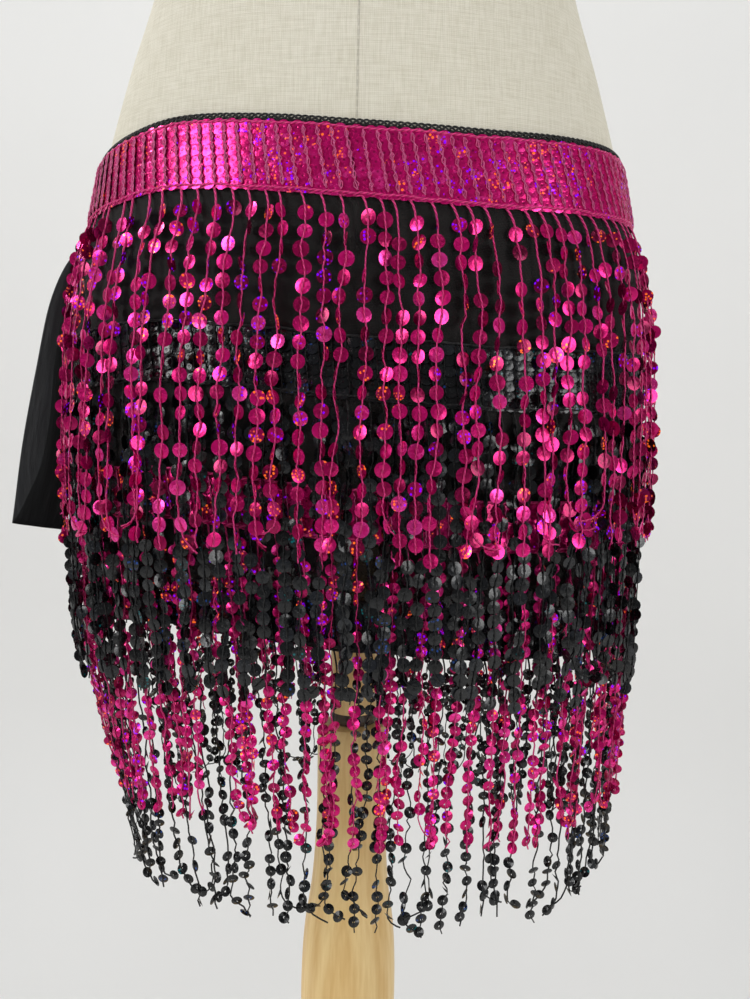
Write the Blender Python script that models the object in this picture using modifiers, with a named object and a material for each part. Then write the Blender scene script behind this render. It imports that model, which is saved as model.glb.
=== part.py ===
"""A belly dance hip skirt, tied at the left hip of a limbless dress form on a turned wooden stand.

Units are metres, +Z is up, and the front of the skirt faces -Y. The origin is the middle of the
stand's underside. Angles run anticlockwise seen from above, from +X, and are in degrees.
"""

import math
from collections import namedtuple

import bmesh
import bpy
import numpy as np

# Cloth walls and the gaps between the layers.
SEAM_GAP = 0.0003
PANEL_WALL = 0.0010
BAND_WALL = 0.0014
FRINGE_WALL = 0.0022
FRINGE_OFFSET = 0.0006
EDGING_WALL = 0.0022
EDGING_HEIGHT = 0.0032

# The roundness of every horizontal section: 2 is an ellipse, more is squarer.
SECTION_POWER = 2.3

# The height of the waistband's top edge, and how far the cloth's layers reach below it.
WAIST_HEIGHT = 0.938
HEM_DROP = 0.269

# The wrap: where its two ends meet, and the width of the slit between them.
TIE_ANGLE = 165.0
SLIT_HALF_AT_WAIST = 0.015
SLIT_HALF_AT_HEM = 0.021
# The left of the wrap is pulled up by this much, and its right hangs this much lower.
WRAP_TILT = 0.0080
TILT_FULL_DROP = 0.17

# Columns of the cloth's mesh, spread evenly along its outline at this height.
CLOTH_COLUMNS = 72
EVEN_AT_HEIGHT = 0.82
OUTLINE_STEPS = 1440

# Strands on each tier of fringe.
STRANDS_A_TIER = 50
STRAND_WIDTH = 0.0078
BACKING_HEIGHT = 0.0032
# A strand leans out by this share of its drop, so it hangs clear of the tiers below.
STRAND_LEAN = 0.053
# The strands' ends lie unevenly by up to this much, in a wave that runs along the hem.
HEM_UNEVENNESS = 0.004
HEM_WAVE = 12.9

# The limbless form.
FORM_COLUMNS = 40
FORM_ROWS = 22
FORM_BOTTOM = 0.740
FORM_TOP = 1.512
FORM_EDGE_ROUND = 0.006
# The shoulders turn too sharply for the even rows, so their own sections are rows as well.
SHOULDER_FROM = 1.38
SHOULDER_TO = 1.46
LEAST_ROW_SPACING = 0.012
CREASE_ANGLE = 50.0

FormSection = namedtuple("FormSection", "height side front back")
FORM_SECTIONS = (
    FormSection(0.740, 0.1500, 0.1030, 0.1080),
    FormSection(0.770, 0.1570, 0.1080, 0.1150),
    FormSection(0.800, 0.1625, 0.1110, 0.1200),
    FormSection(0.850, 0.1668, 0.1130, 0.1235),
    FormSection(0.875, 0.1632, 0.1120, 0.1225),
    FormSection(0.897, 0.1590, 0.1098, 0.1190),
    FormSection(0.936, 0.1510, 0.1048, 0.1100),
    FormSection(0.981, 0.1388, 0.0990, 0.1000),
    FormSection(1.036, 0.1220, 0.0920, 0.0880),
    FormSection(1.090, 0.1150, 0.0880, 0.0800),
    FormSection(1.140, 0.1210, 0.0940, 0.0830),
    FormSection(1.195, 0.1360, 0.1100, 0.0920),
    FormSection(1.245, 0.1455, 0.1290, 0.0990),
    FormSection(1.290, 0.1510, 0.1200, 0.1020),
    FormSection(1.340, 0.1610, 0.1000, 0.1010),
    FormSection(1.385, 0.1660, 0.0840, 0.0950),
    FormSection(1.412, 0.1460, 0.0720, 0.0850),
    FormSection(1.432, 0.1060, 0.0620, 0.0720),
    FormSection(1.450, 0.0690, 0.0560, 0.0620),
    FormSection(1.475, 0.0560, 0.0540, 0.0560),
    FormSection(1.512, 0.0530, 0.0530, 0.0530),
)

# The outside of the base cloth. Its rows below the hem guide the fringe that hangs there.
ClothSection = namedtuple("ClothSection", "height left right front back")
CLOTH_SECTIONS = (
    ClothSection(0.500, 0.1240, 0.1475, 0.1010, 0.1040),
    ClothSection(0.560, 0.1365, 0.1535, 0.1045, 0.1080),
    ClothSection(0.610, 0.1460, 0.1585, 0.1070, 0.1115),
    ClothSection(0.660, 0.1560, 0.1630, 0.1100, 0.1150),
    ClothSection(0.720, 0.1655, 0.1665, 0.1130, 0.1195),
    ClothSection(0.800, 0.1705, 0.1695, 0.1148, 0.1245),
    ClothSection(0.850, 0.1700, 0.1690, 0.1150, 0.1255),
    ClothSection(0.875, 0.1664, 0.1658, 0.1139, 0.1243),
    ClothSection(0.897, 0.1612, 0.1608, 0.1115, 0.1207),
    ClothSection(0.936, 0.1530, 0.1527, 0.1065, 0.1117),
    ClothSection(0.960, 0.1471, 0.1469, 0.1035, 0.1072),
)

# The waistband's top edge, as worn: its rise over WAIST_HEIGHT round the hips.
WaistPoint = namedtuple("WaistPoint", "angle rise")
WAIST_LINE = (
    WaistPoint(-195.0, -0.0090),
    WaistPoint(-180.0, -0.0090),
    WaistPoint(-160.0, -0.0066),
    WaistPoint(-144.0, -0.0023),
    WaistPoint(-128.0, 0.0024),
    WaistPoint(-107.0, 0.0016),
    WaistPoint(-84.0, -0.0023),
    WaistPoint(-66.0, -0.0036),
    WaistPoint(-50.0, -0.0023),
    WaistPoint(-30.0, -0.0010),
    WaistPoint(0.0, -0.0005),
    WaistPoint(45.0, 0.0020),
    WaistPoint(90.0, 0.0040),
    WaistPoint(130.0, -0.0010),
    WaistPoint(165.0, -0.0090),
)

# Soft upright folds of the hanging cloth: each ridge's place, reach to either side and height.
Fold = namedtuple("Fold", "angle reach height")
FOLDS = (
    Fold(-152.0, 7.0, 0.0022),
    Fold(-131.0, 6.0, 0.0016),
    Fold(-112.0, 5.5, 0.0024),
    Fold(-93.0, 6.5, 0.0012),
    Fold(-71.0, 5.5, 0.0020),
    Fold(-48.0, 6.0, 0.0026),
    Fold(-22.0, 7.5, 0.0015),
    Fold(8.0, 7.0, 0.0022),
    Fold(36.0, 6.0, 0.0018),
    Fold(63.0, 6.5, 0.0026),
    Fold(88.0, 5.5, 0.0014),
    Fold(112.0, 6.0, 0.0024),
    Fold(139.0, 6.5, 0.0018),
)
FOLDS_START = 0.870
FOLDS_FULL = 0.760

# The four tiers: each band's top and bottom below the waist line, and its fringe's lowest drop.
# A strand bends at these shares of its length, with its cut end last.
Tier = namedtuple("Tier", "name colour band_top band_bottom fringe_end bends")
TIERS = (
    Tier("1_pink", "pink", 0.0, 0.0348, 0.2185, (0.22, 0.58, 1.0)),
    Tier("2_black", "black", 0.1050, 0.1370, 0.2965, (0.45, 1.0)),
    Tier("3_pink", "pink", 0.1840, 0.2105, 0.3715, (0.22, 1.0)),
    Tier("4_black", "black", 0.2425, HEM_DROP, 0.4250, (0.45, 1.0)),
)
HIP_DROP = 0.066

# The knot's half sizes along the hip, outwards and upright, and where it lies.
KNOT_HALF = (0.0090, 0.0090, 0.0130)
KNOT_OUT = 0.0105
KNOT_DROP = 0.020
STRAP_HALF_HEIGHT = 0.0145
STRAP_END_GAP = 0.0008
STRAP_HALF_THICKNESS = 0.0007
STRAP_KNOT_HALF_HEIGHT = 0.0075
STRAP_KNOT_HALF_THICKNESS = 0.0035
STRAP_SIDES = 12

# A tie's tail, from the knot to its cut end.
Station = namedtuple("Station", "x y z half_width half_thickness turn")
FRONT_TAIL = (
    Station(-0.1680, 0.0360, 0.8965, 0.0040, 0.0030, 10.0),
    Station(-0.1785, 0.0360, 0.8860, 0.0105, 0.0036, 8.0),
    Station(-0.1888, 0.0330, 0.8580, 0.0131, 0.0040, 4.0),
    Station(-0.1965, 0.0290, 0.8150, 0.0141, 0.0042, 0.0),
    Station(-0.2032, 0.0250, 0.7640, 0.0164, 0.0040, -4.0),
    Station(-0.2083, 0.0220, 0.7120, 0.0176, 0.0036, -6.0),
)
BACK_TAIL = (
    Station(-0.1640, 0.0448, 0.8965, 0.0040, 0.0030, 60.0),
    Station(-0.1680, 0.0520, 0.8850, 0.0070, 0.0034, 58.0),
    Station(-0.1745, 0.0610, 0.8600, 0.0100, 0.0036, 60.0),
    Station(-0.1800, 0.0690, 0.8150, 0.0130, 0.0038, 66.0),
    Station(-0.1830, 0.0740, 0.7400, 0.0150, 0.0034, 72.0),
)
TAIL_SIDES = 10

# Turned pieces of the stand, each from its top down its outer side: radius and height.
Turn = namedtuple("Turn", "radius height")
POLE_TURNS = (
    Turn(0.0, FORM_BOTTOM - SEAM_GAP),
    Turn(0.0147, FORM_BOTTOM - SEAM_GAP),
    Turn(0.0147, 0.6010),
    Turn(0.0122, 0.6010),
    Turn(0.0122, 0.5935),
    Turn(0.0200, 0.5920),
    Turn(0.0223, 0.5860),
    Turn(0.0226, 0.5200),
    Turn(0.0245, 0.4900),
    Turn(0.0290, 0.4560),
    Turn(0.0306, 0.4180),
    Turn(0.0290, 0.3700),
    Turn(0.0220, 0.3000),
    Turn(0.0190, 0.2200),
    Turn(0.0190, 0.1200),
    Turn(0.0240, 0.0800),
    Turn(0.0340, 0.0560),
    Turn(0.0340, 0.0303),
    Turn(0.0, 0.0303),
)
RING_TURNS = (
    Turn(0.0125, 0.6007),
    Turn(0.0142, 0.6007),
    Turn(0.0148, 0.5972),
    Turn(0.0142, 0.5938),
    Turn(0.0125, 0.5938),
)
FOOT_TURNS = (
    Turn(0.0, 0.0300),
    Turn(0.1500, 0.0300),
    Turn(0.1780, 0.0260),
    Turn(0.1880, 0.0180),
    Turn(0.1900, 0.0080),
    Turn(0.1860, 0.0),
    Turn(0.0, 0.0),
)
CAP_TURNS = (
    Turn(0.0, 1.5400),
    Turn(0.0300, 1.5380),
    Turn(0.0500, 1.5320),
    Turn(0.0560, 1.5240),
    Turn(0.0560, FORM_TOP + SEAM_GAP),
    Turn(0.0, FORM_TOP + SEAM_GAP),
)
POLE_SIDES = 24
FOOT_SIDES = 40
MERGE_DISTANCE = 0.0001

Finish = namedtuple("Finish", "colour roughness metallic")
FINISHES = {
    "pink": Finish((0.62, 0.01, 0.13), 0.28, 0.55),
    "black": Finish((0.012, 0.013, 0.016), 0.30, 0.45),
    "sheer": Finish((0.015, 0.014, 0.014), 0.85, 0.0),
    "edging": Finish((0.012, 0.012, 0.012), 0.80, 0.0),
    "satin": Finish((0.010, 0.011, 0.012), 0.45, 0.0),
    "linen": Finish((0.70, 0.66, 0.56), 0.90, 0.0),
    "wood": Finish((0.66, 0.45, 0.22), 0.50, 0.0),
    "dark ring": Finish((0.05, 0.04, 0.035), 0.45, 0.0),
}


def clear_scene():
    for old in list(bpy.data.objects):
        bpy.data.objects.remove(old, do_unlink=True)


def material(name, finish):
    made = bpy.data.materials.new(name)
    made.use_nodes = True
    shader = made.node_tree.nodes["Principled BSDF"]
    shader.inputs["Base Color"].default_value = (*finish.colour, 1.0)
    shader.inputs["Roughness"].default_value = finish.roughness
    shader.inputs["Metallic"].default_value = finish.metallic
    return made


def place(name, mesh, finish_name, collection):
    piece = bpy.data.objects.new(name, mesh)
    mesh.materials.append(material(name, FINISHES[finish_name]))
    collection.objects.link(piece)
    return piece


def smooth_read(table, key, column, at):
    """A cubic through one column of a table, read at the given keys."""
    keys = np.array([getattr(row, key) for row in table])
    values = np.array([getattr(row, column) for row in table])
    slopes = np.gradient(values, keys)
    at = np.clip(np.asarray(at, float), keys[0], keys[-1])
    below = np.clip(np.searchsorted(keys, at, side="right") - 1, 0, len(keys) - 2)
    width = keys[below + 1] - keys[below]
    t = (at - keys[below]) / width
    start = (1 + 2 * t) * (1 - t) ** 2 * values[below]
    leave = t * (1 - t) ** 2 * width * slopes[below]
    end = t * t * (3 - 2 * t) * values[below + 1]
    arrive = t * t * (t - 1) * width * slopes[below + 1]
    return start + leave + end + arrive


def rounded(wave):
    """The section's own power of a sine or cosine, with its sign kept."""
    return np.sign(wave) * np.abs(wave) ** (2 / SECTION_POWER)


def turned_within(angle):
    """The same angle in the waist line's range, which starts at the tie."""
    first = WAIST_LINE[0].angle
    return first + (np.asarray(angle, float) - first) % 360.0


def fold_rise(angle, height):
    """How far the hanging cloth's ridges stand out at an angle and height."""
    near = turned_within(angle)
    total = np.zeros(np.broadcast(near, height).shape)
    for fold in FOLDS:
        total = total + fold.height * np.exp(-(((near - fold.angle) / fold.reach) ** 2))
    share = np.clip((FOLDS_START - height) / (FOLDS_START - FOLDS_FULL), 0.0, 1.0)
    return total * share * share * (3 - 2 * share)


def cloth_outline(angle, height):
    """The x and y of the base cloth's outer surface."""
    across = np.cos(np.radians(angle))
    along = np.sin(np.radians(angle))
    left = smooth_read(CLOTH_SECTIONS, "height", "left", height)
    right = smooth_read(CLOTH_SECTIONS, "height", "right", height)
    front = smooth_read(CLOTH_SECTIONS, "height", "front", height)
    back = smooth_read(CLOTH_SECTIONS, "height", "back", height)
    rise = fold_rise(angle, height)
    x = (np.where(across < 0, left, right) + rise) * rounded(across)
    y = (np.where(along < 0, front, back) + rise) * rounded(along)
    return x, y


def cloth_point(angle, height, out=0.0):
    """A point on the base cloth, moved straight out from it."""
    step = 1.0
    x, y = cloth_outline(angle, height)
    x_before, y_before = cloth_outline(angle - step, height)
    x_after, y_after = cloth_outline(angle + step, height)
    dx = x_after - x_before
    dy = y_after - y_before
    size = np.hypot(dx, dy)
    return np.stack([x + out * dy / size, y - out * dx / size, height + 0 * x], axis=-1)


def height_at(angle, drop):
    """The height of the line that lies this far below the waistband's top edge, as worn."""
    rise = smooth_read(WAIST_LINE, "angle", "rise", turned_within(angle))
    tilt = WRAP_TILT * np.clip(drop / TILT_FULL_DROP, 0.0, 1.0)
    return WAIST_HEIGHT + rise - drop - tilt * np.cos(np.radians(angle))


def slit_angle(drop):
    """Half the slit's width at this drop, as an angle."""
    share = np.clip(drop / HEM_DROP, 0.0, 1.0)
    half = SLIT_HALF_AT_WAIST + share * (SLIT_HALF_AT_HEM - SLIT_HALF_AT_WAIST)
    side = smooth_read(CLOTH_SECTIONS, "height", "left", WAIST_HEIGHT - drop)
    return np.degrees(half / side)


def even_shares():
    """Angles for even steps along the cloth, as a table of length share against angle share."""
    fine = np.linspace(0.0, 1.0, OUTLINE_STEPS + 1)
    x, y = cloth_outline(TIE_ANGLE - 360.0 + 360.0 * fine, EVEN_AT_HEIGHT)
    length = np.concatenate([[0.0], np.cumsum(np.hypot(np.diff(x), np.diff(y)))])
    return length / length[-1], fine


def wrap_angle(share, drop):
    """The angle at a share of the wrap's length, from its front end round to its back end."""
    lengths, fine = even_shares()
    turned = np.interp(share, lengths, fine)
    slit = slit_angle(drop)
    return TIE_ANGLE - 360.0 + slit + turned * (360.0 - 2 * slit)


def cloth_row(shares, drop, out=0.0):
    """Points along one level line of the wrap."""
    angles = wrap_angle(shares, drop)
    return cloth_point(angles, height_at(angles, drop), out)


def surface_mesh(name, points, quads):
    mesh = bpy.data.meshes.new(name)
    mesh.from_pydata([tuple(p) for p in points], [], quads)
    mesh.validate()
    mesh.shade_smooth()
    return mesh


def grid_quads(rows, columns):
    """Faces of a grid whose rows run down and whose columns run anticlockwise, faces out."""
    quads = []
    for row in range(rows - 1):
        for column in range(columns - 1):
            corner = row * columns + column
            quads.append((corner, corner + columns, corner + columns + 1, corner + 1))
    return quads


def thicken(piece, thickness, outwards):
    wall = piece.modifiers.new("wall", "SOLIDIFY")
    wall.thickness = thickness
    wall.offset = 1.0 if outwards else -1.0
    return piece


def cloth_wall(name, drops, out, thickness, outwards, finish_name, collection):
    """A wall of cloth that follows the wrap between level lines."""
    shares = np.linspace(0.0, 1.0, CLOTH_COLUMNS + 1)
    rows = [cloth_row(shares, drop, out) for drop in drops]
    quads = grid_quads(len(drops), len(shares))
    mesh = surface_mesh(name, np.concatenate(rows), quads)
    return thicken(place(name, mesh, finish_name, collection), thickness, outwards)


def panel_drops():
    """Level lines of the base cloth: every band's edges, and the bend above the full hip."""
    drops = {HIP_DROP}
    for tier in TIERS:
        drops.update((tier.band_top, tier.band_bottom))
    return sorted(drops)


def build_cloth(collection):
    cloth_wall("skirt_panel", panel_drops(), 0.0, PANEL_WALL, False, "sheer", collection)
    edging_drops = (-SEAM_GAP - EDGING_HEIGHT, -SEAM_GAP)
    edging_out = -PANEL_WALL / 2
    cloth_wall(
        "waist_edging", edging_drops, edging_out, EDGING_WALL, True, "edging", collection
    )
    for tier in TIERS:
        drops = [d for d in panel_drops() if tier.band_top <= d <= tier.band_bottom]
        name = "band_" + tier.name
        cloth_wall(name, drops, SEAM_GAP, BAND_WALL, True, tier.colour, collection)


def build_fringe(tier, collection):
    """One backing strip with its strands, as a comb that follows the cloth, then thickened."""
    root = tier.band_bottom + SEAM_GAP
    backing_end = root + BACKING_HEIGHT
    shares = strand_shares(backing_end)
    rows = [
        cloth_row(shares, root, FRINGE_OFFSET),
        cloth_row(shares, backing_end, FRINGE_OFFSET),
    ]
    points = list(np.concatenate(rows))
    quads = grid_quads(2, len(shares))
    for strand in range(STRANDS_A_TIER):
        first = 1 + 2 * strand
        upper = (len(shares) + first, len(shares) + first + 1)
        unevenness = HEM_UNEVENNESS * math.sin(HEM_WAVE * strand + TIERS.index(tier))
        full = tier.fringe_end + unevenness - backing_end
        for step in tier.bends:
            drop = backing_end + step * full
            out = FRINGE_OFFSET + STRAND_LEAN * step * full
            pair = hanging_pair(shares[first : first + 2], backing_end, drop, out)
            lower = (len(points), len(points) + 1)
            points.extend(pair)
            quads.append((upper[0], lower[0], lower[1], upper[1]))
            upper = lower
    name = "fringe_" + tier.name
    mesh = surface_mesh(name, points, quads)
    thicken(place(name, mesh, tier.colour, collection), FRINGE_WALL, True)


def strand_shares(drop):
    """Shares of the wrap's length where each strand starts and ends, with the two ends."""
    x, y, _ = cloth_row(np.linspace(0.0, 1.0, OUTLINE_STEPS + 1), drop).T
    length = float(np.hypot(np.diff(x), np.diff(y)).sum())
    half = STRAND_WIDTH / 2 / length
    middles = (np.arange(STRANDS_A_TIER) + 0.5) / STRANDS_A_TIER
    edges = np.stack([middles - half, middles + half], axis=1).ravel()
    return np.concatenate([[0.0], edges, [1.0]])


def hanging_pair(shares, root_drop, drop, out):
    """The two edge points of a strand: under its root, and as wide there as at its root."""
    angles = wrap_angle(shares, root_drop)
    height = height_at(angles, root_drop) - (drop - root_drop)
    pair = cloth_point(angles, height, out)
    middle = pair.mean(axis=0)
    across = pair[1] - pair[0]
    half = across / np.linalg.norm(across) * STRAND_WIDTH / 2
    return [middle - half, middle + half]


def closed_loft(name, rings, finish_name, collection):
    """A closed body through rings of points, each ring anticlockwise and the lowest ring first."""
    count = len(rings[0])
    quads = []
    for row in range(len(rings) - 1):
        for column in range(count):
            after = (column + 1) % count
            low = row * count
            high = low + count
            quads.append((low + column, low + after, high + after, high + column))
    quads.append(tuple(reversed(range(count))))
    top = (len(rings) - 1) * count
    quads.append(tuple(range(top, top + count)))
    mesh = surface_mesh(name, np.concatenate(rings), quads)
    mesh.set_sharp_from_angle(angle=math.radians(CREASE_ANGLE))
    return place(name, mesh, finish_name, collection)


def form_ring(height, inset=0.0):
    angles = np.linspace(0.0, 360.0, FORM_COLUMNS, endpoint=False)
    across = np.cos(np.radians(angles))
    along = np.sin(np.radians(angles))
    side = smooth_read(FORM_SECTIONS, "height", "side", height) - inset
    front = smooth_read(FORM_SECTIONS, "height", "front", height) - inset
    back = smooth_read(FORM_SECTIONS, "height", "back", height) - inset
    x = side * rounded(across)
    y = np.where(along < 0, front, back) * rounded(along)
    return np.stack([x, y, np.full(len(x), height)], axis=-1)


def build_form(collection):
    """The torso, with its lower edge rounded, through evenly spread rows and the shoulder's own."""
    even = np.linspace(FORM_BOTTOM + FORM_EDGE_ROUND, FORM_TOP, FORM_ROWS)
    shoulder = [s.height for s in FORM_SECTIONS if SHOULDER_FROM < s.height < SHOULDER_TO]
    spaced = [h for h in even if min(abs(h - s) for s in shoulder) > LEAST_ROW_SPACING]
    heights = sorted(spaced + shoulder)
    rings = [form_ring(FORM_BOTTOM, inset=FORM_EDGE_ROUND)]
    rings += [form_ring(height) for height in heights]
    closed_loft("form_torso", rings, "linen", collection)


def turned(name, turns, sides, finish_name, collection, closed=False):
    """A turned piece: its profile spun about the upright axis."""
    points = [(turn.radius, 0.0, turn.height) for turn in turns]
    edges = [(i, i + 1) for i in range(len(points) - 1)]
    if closed:
        edges.append((len(points) - 1, 0))
    mesh = bpy.data.meshes.new(name)
    mesh.from_pydata(points, edges, [])
    piece = place(name, mesh, finish_name, collection)
    spin = piece.modifiers.new("spin", "SCREW")
    spin.steps = sides
    spin.render_steps = sides
    spin.use_merge_vertices = True
    spin.merge_threshold = MERGE_DISTANCE
    spin.use_smooth_shade = True
    return piece


def build_stand(collection):
    turned("form_neck_cap", CAP_TURNS, POLE_SIDES, "wood", collection)
    turned("form_pole", POLE_TURNS, POLE_SIDES, "wood", collection)
    turned("form_pole_ring", RING_TURNS, POLE_SIDES, "dark ring", collection, closed=True)
    turned("form_foot", FOOT_TURNS, FOOT_SIDES, "wood", collection)


def tie_frame():
    """The knot's middle, and the directions along the hip and straight out from it."""
    height = float(height_at(TIE_ANGLE, KNOT_DROP))
    middle = cloth_point(np.array(TIE_ANGLE), height, KNOT_OUT)
    out = middle - cloth_point(np.array(TIE_ANGLE), height)
    out = out / np.linalg.norm(out)
    along = np.array([-out[1], out[0], 0.0])
    return middle, along, out


def oval(middle, wide, thick, sides):
    """A ring of points on an oval, from its two half axes as vectors."""
    turns = np.linspace(0.0, 2 * math.pi, sides, endpoint=False)
    return np.array([middle + math.cos(t) * wide + math.sin(t) * thick for t in turns])


def build_knot(collection):
    middle, along, out = tie_frame()
    mesh = bpy.data.meshes.new("tie_knot")
    ball = bmesh.new()
    bmesh.ops.create_uvsphere(ball, u_segments=14, v_segments=9, radius=1.0)
    for vertex in ball.verts:
        x, y, z = vertex.co
        vertex.co = tuple(
            middle - x * KNOT_HALF[0] * along + y * KNOT_HALF[1] * out
            + z * KNOT_HALF[2] * np.array([0.0, 0.0, 1.0])
        )
    ball.to_mesh(mesh)
    ball.free()
    mesh.shade_smooth()
    place("tie_knot", mesh, "satin", collection)


def strap_end(side, along):
    """The ring where a strap meets its end of the waistband, just clear of it."""
    end_share = np.array([0.0 if side > 0 else 1.0])
    points = []
    for turn in np.linspace(0.0, 2 * math.pi, STRAP_SIDES, endpoint=False):
        drop = TIERS[0].band_bottom / 2 - math.sin(turn) * STRAP_HALF_HEIGHT
        out = SEAM_GAP + BAND_WALL / 2 - side * math.cos(turn) * STRAP_HALF_THICKNESS
        points.append(cloth_row(end_share, drop, out)[0] - side * STRAP_END_GAP * along)
    return np.array(points)


def build_strap(name, side, collection):
    """A gathered strap from one end of the waistband to the knot; side is -1 for the back end."""
    middle, along, out = tie_frame()
    at_knot = middle + side * (KNOT_HALF[0] + SEAM_GAP) * along
    wide = -side * STRAP_KNOT_HALF_THICKNESS * out
    tall = np.array([0.0, 0.0, STRAP_KNOT_HALF_HEIGHT])
    rings = [oval(at_knot, wide, tall, STRAP_SIDES), strap_end(side, along)]
    closed_loft(name, rings, "satin", collection)


def build_tail(name, stations, collection):
    """A tie's tail: a soft flattened tube through its stations, lowest first."""
    rings = []
    for station in reversed(stations):
        turn = math.radians(station.turn)
        wide = station.half_width * np.array([math.cos(turn), math.sin(turn), 0.0])
        thick = station.half_thickness * np.array([-math.sin(turn), math.cos(turn), 0.0])
        middle = np.array([station.x, station.y, station.z])
        rings.append(oval(middle, wide, thick, TAIL_SIDES))
    closed_loft(name, rings, "satin", collection)


def build_ties(collection):
    build_knot(collection)
    build_strap("tie_strap_front", 1, collection)
    build_strap("tie_strap_back", -1, collection)
    build_tail("tie_tail_front", FRONT_TAIL, collection)
    build_tail("tie_tail_back", BACK_TAIL, collection)


def main():
    clear_scene()
    collection = bpy.data.collections.new("belly_dance_costume")
    bpy.context.scene.collection.children.link(collection)
    build_form(collection)
    build_stand(collection)
    build_cloth(collection)
    for tier in TIERS:
        build_fringe(tier, collection)
    build_ties(collection)


main()
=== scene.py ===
import math

import bpy
import numpy as np
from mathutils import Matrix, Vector


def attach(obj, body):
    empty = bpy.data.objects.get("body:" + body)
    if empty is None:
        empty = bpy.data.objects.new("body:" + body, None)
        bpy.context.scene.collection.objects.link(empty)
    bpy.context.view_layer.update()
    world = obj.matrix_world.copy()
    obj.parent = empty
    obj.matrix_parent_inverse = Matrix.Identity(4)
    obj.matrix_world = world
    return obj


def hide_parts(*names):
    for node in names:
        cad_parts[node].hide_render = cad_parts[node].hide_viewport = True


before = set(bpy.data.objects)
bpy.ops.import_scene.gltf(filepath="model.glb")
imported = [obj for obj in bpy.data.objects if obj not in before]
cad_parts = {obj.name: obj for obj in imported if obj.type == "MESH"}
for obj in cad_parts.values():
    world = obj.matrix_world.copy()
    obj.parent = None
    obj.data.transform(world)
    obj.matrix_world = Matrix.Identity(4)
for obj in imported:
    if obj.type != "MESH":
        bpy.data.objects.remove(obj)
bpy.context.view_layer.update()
print("frame loaded")

# ---- small helpers for node trees and meshes


def addNode(tree, kind, links=None, **settings):
    node = tree.nodes.new(kind)
    for key, value in settings.items():
        setattr(node, key, value)
    for socket, source in (links or {}).items():
        if isinstance(source, bpy.types.NodeSocket):
            tree.links.new(source, node.inputs[socket])
        else:
            node.inputs[socket].default_value = source
    return node


def calc(tree, operation, first, second=0.0, third=0.0, clamp=False):
    links = {0: first, 1: second}
    if operation in ("SMOOTH_MIN", "MULTIPLY_ADD", "COMPARE", "WRAP"):
        links[2] = third
    return addNode(tree, "ShaderNodeMath", links, operation=operation, use_clamp=clamp).outputs[0]


def spread(tree, value, low, high, toLow=0.0, toHigh=1.0):
    # a value read from one range into another, kept inside it
    links = {"Value": value, "From Min": low, "From Max": high, "To Min": toLow, "To Max": toHigh}
    return addNode(tree, "ShaderNodeMapRange", links).outputs[0]


def blendColours(tree, share, first, second, mode="MIX"):
    node = addNode(tree, "ShaderNodeMix", data_type="RGBA", blend_type=mode)
    for socket, source in ((0, share), (6, first), (7, second)):
        if isinstance(source, bpy.types.NodeSocket):
            tree.links.new(source, node.inputs[socket])
        else:
            node.inputs[socket].default_value = source
    return node.outputs[2]


def newTree(name, kind, inputs, outputs):
    tree = bpy.data.node_groups.new(name, kind)
    for label, socketKind, value in inputs:
        socket = tree.interface.new_socket(label, in_out="INPUT", socket_type=socketKind)
        if value is not None:
            socket.default_value = value
    for label, socketKind in outputs:
        tree.interface.new_socket(label, in_out="OUTPUT", socket_type=socketKind)
    return tree, tree.nodes.new("NodeGroupInput").outputs, tree.nodes.new("NodeGroupOutput").inputs


def newPiece(name, mesh, material=None):
    piece = bpy.data.objects.new(name, mesh)
    bpy.context.scene.collection.objects.link(piece)
    if material:
        mesh.materials.append(material)
    return piece


def surface(name, points, quads, uv=None, material=None):
    # uv holds one pair for each corner of each face
    mesh = bpy.data.meshes.new(name)
    mesh.from_pydata([tuple(p) for p in points], [], quads)
    if uv is not None:
        mesh.uv_layers.new(name="cloth").data.foreach_set("uv", np.asarray(uv, float).ravel())
    mesh.shade_smooth()
    return newPiece(name, mesh, material)


def grow(piece, tree, values):
    # runs a Geometry Nodes tree on a piece and keeps the plain mesh that comes out
    modifier = piece.modifiers.new("grow", "NODES")
    modifier.node_group = tree
    for item in tree.interface.items_tree:
        if item.name in values and item.in_out == "INPUT":
            modifier[item.identifier] = values[item.name]
    view = bpy.context.evaluated_depsgraph_get()
    mesh = bpy.data.meshes.new_from_object(piece.evaluated_get(view))
    piece.modifiers.clear()
    piece.data = mesh
    mesh.name = piece.name
    return piece


# ---- camera, light and room

cameraLook = {"place": (0.0112, -0.650, 0.80), "down": 5.6, "roll": 1.2, "lens": 37.48}


def addCamera(look):
    down = math.radians(look["down"])
    roll = math.radians(look["roll"])
    forward = Vector((0.0, math.cos(down), -math.sin(down)))
    level = Vector((1.0, 0.0, 0.0))
    right = math.cos(roll) * level + math.sin(roll) * level.cross(forward)
    up = right.cross(forward)
    data = bpy.data.cameras.new("photoCamera")
    data.lens = look["lens"]
    data.sensor_width = 36.0
    data.clip_start = 0.02
    camera = bpy.data.objects.new("photoCamera", data)
    bpy.context.scene.collection.objects.link(camera)
    camera.matrix_world = [
        (right.x, up.x, -forward.x, look["place"][0]),
        (right.y, up.y, -forward.y, look["place"][1]),
        (right.z, up.z, -forward.z, look["place"][2]),
        (0.0, 0.0, 0.0, 1.0),
    ]
    camera.matrix_world.transpose()
    bpy.context.scene.camera = camera


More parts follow.
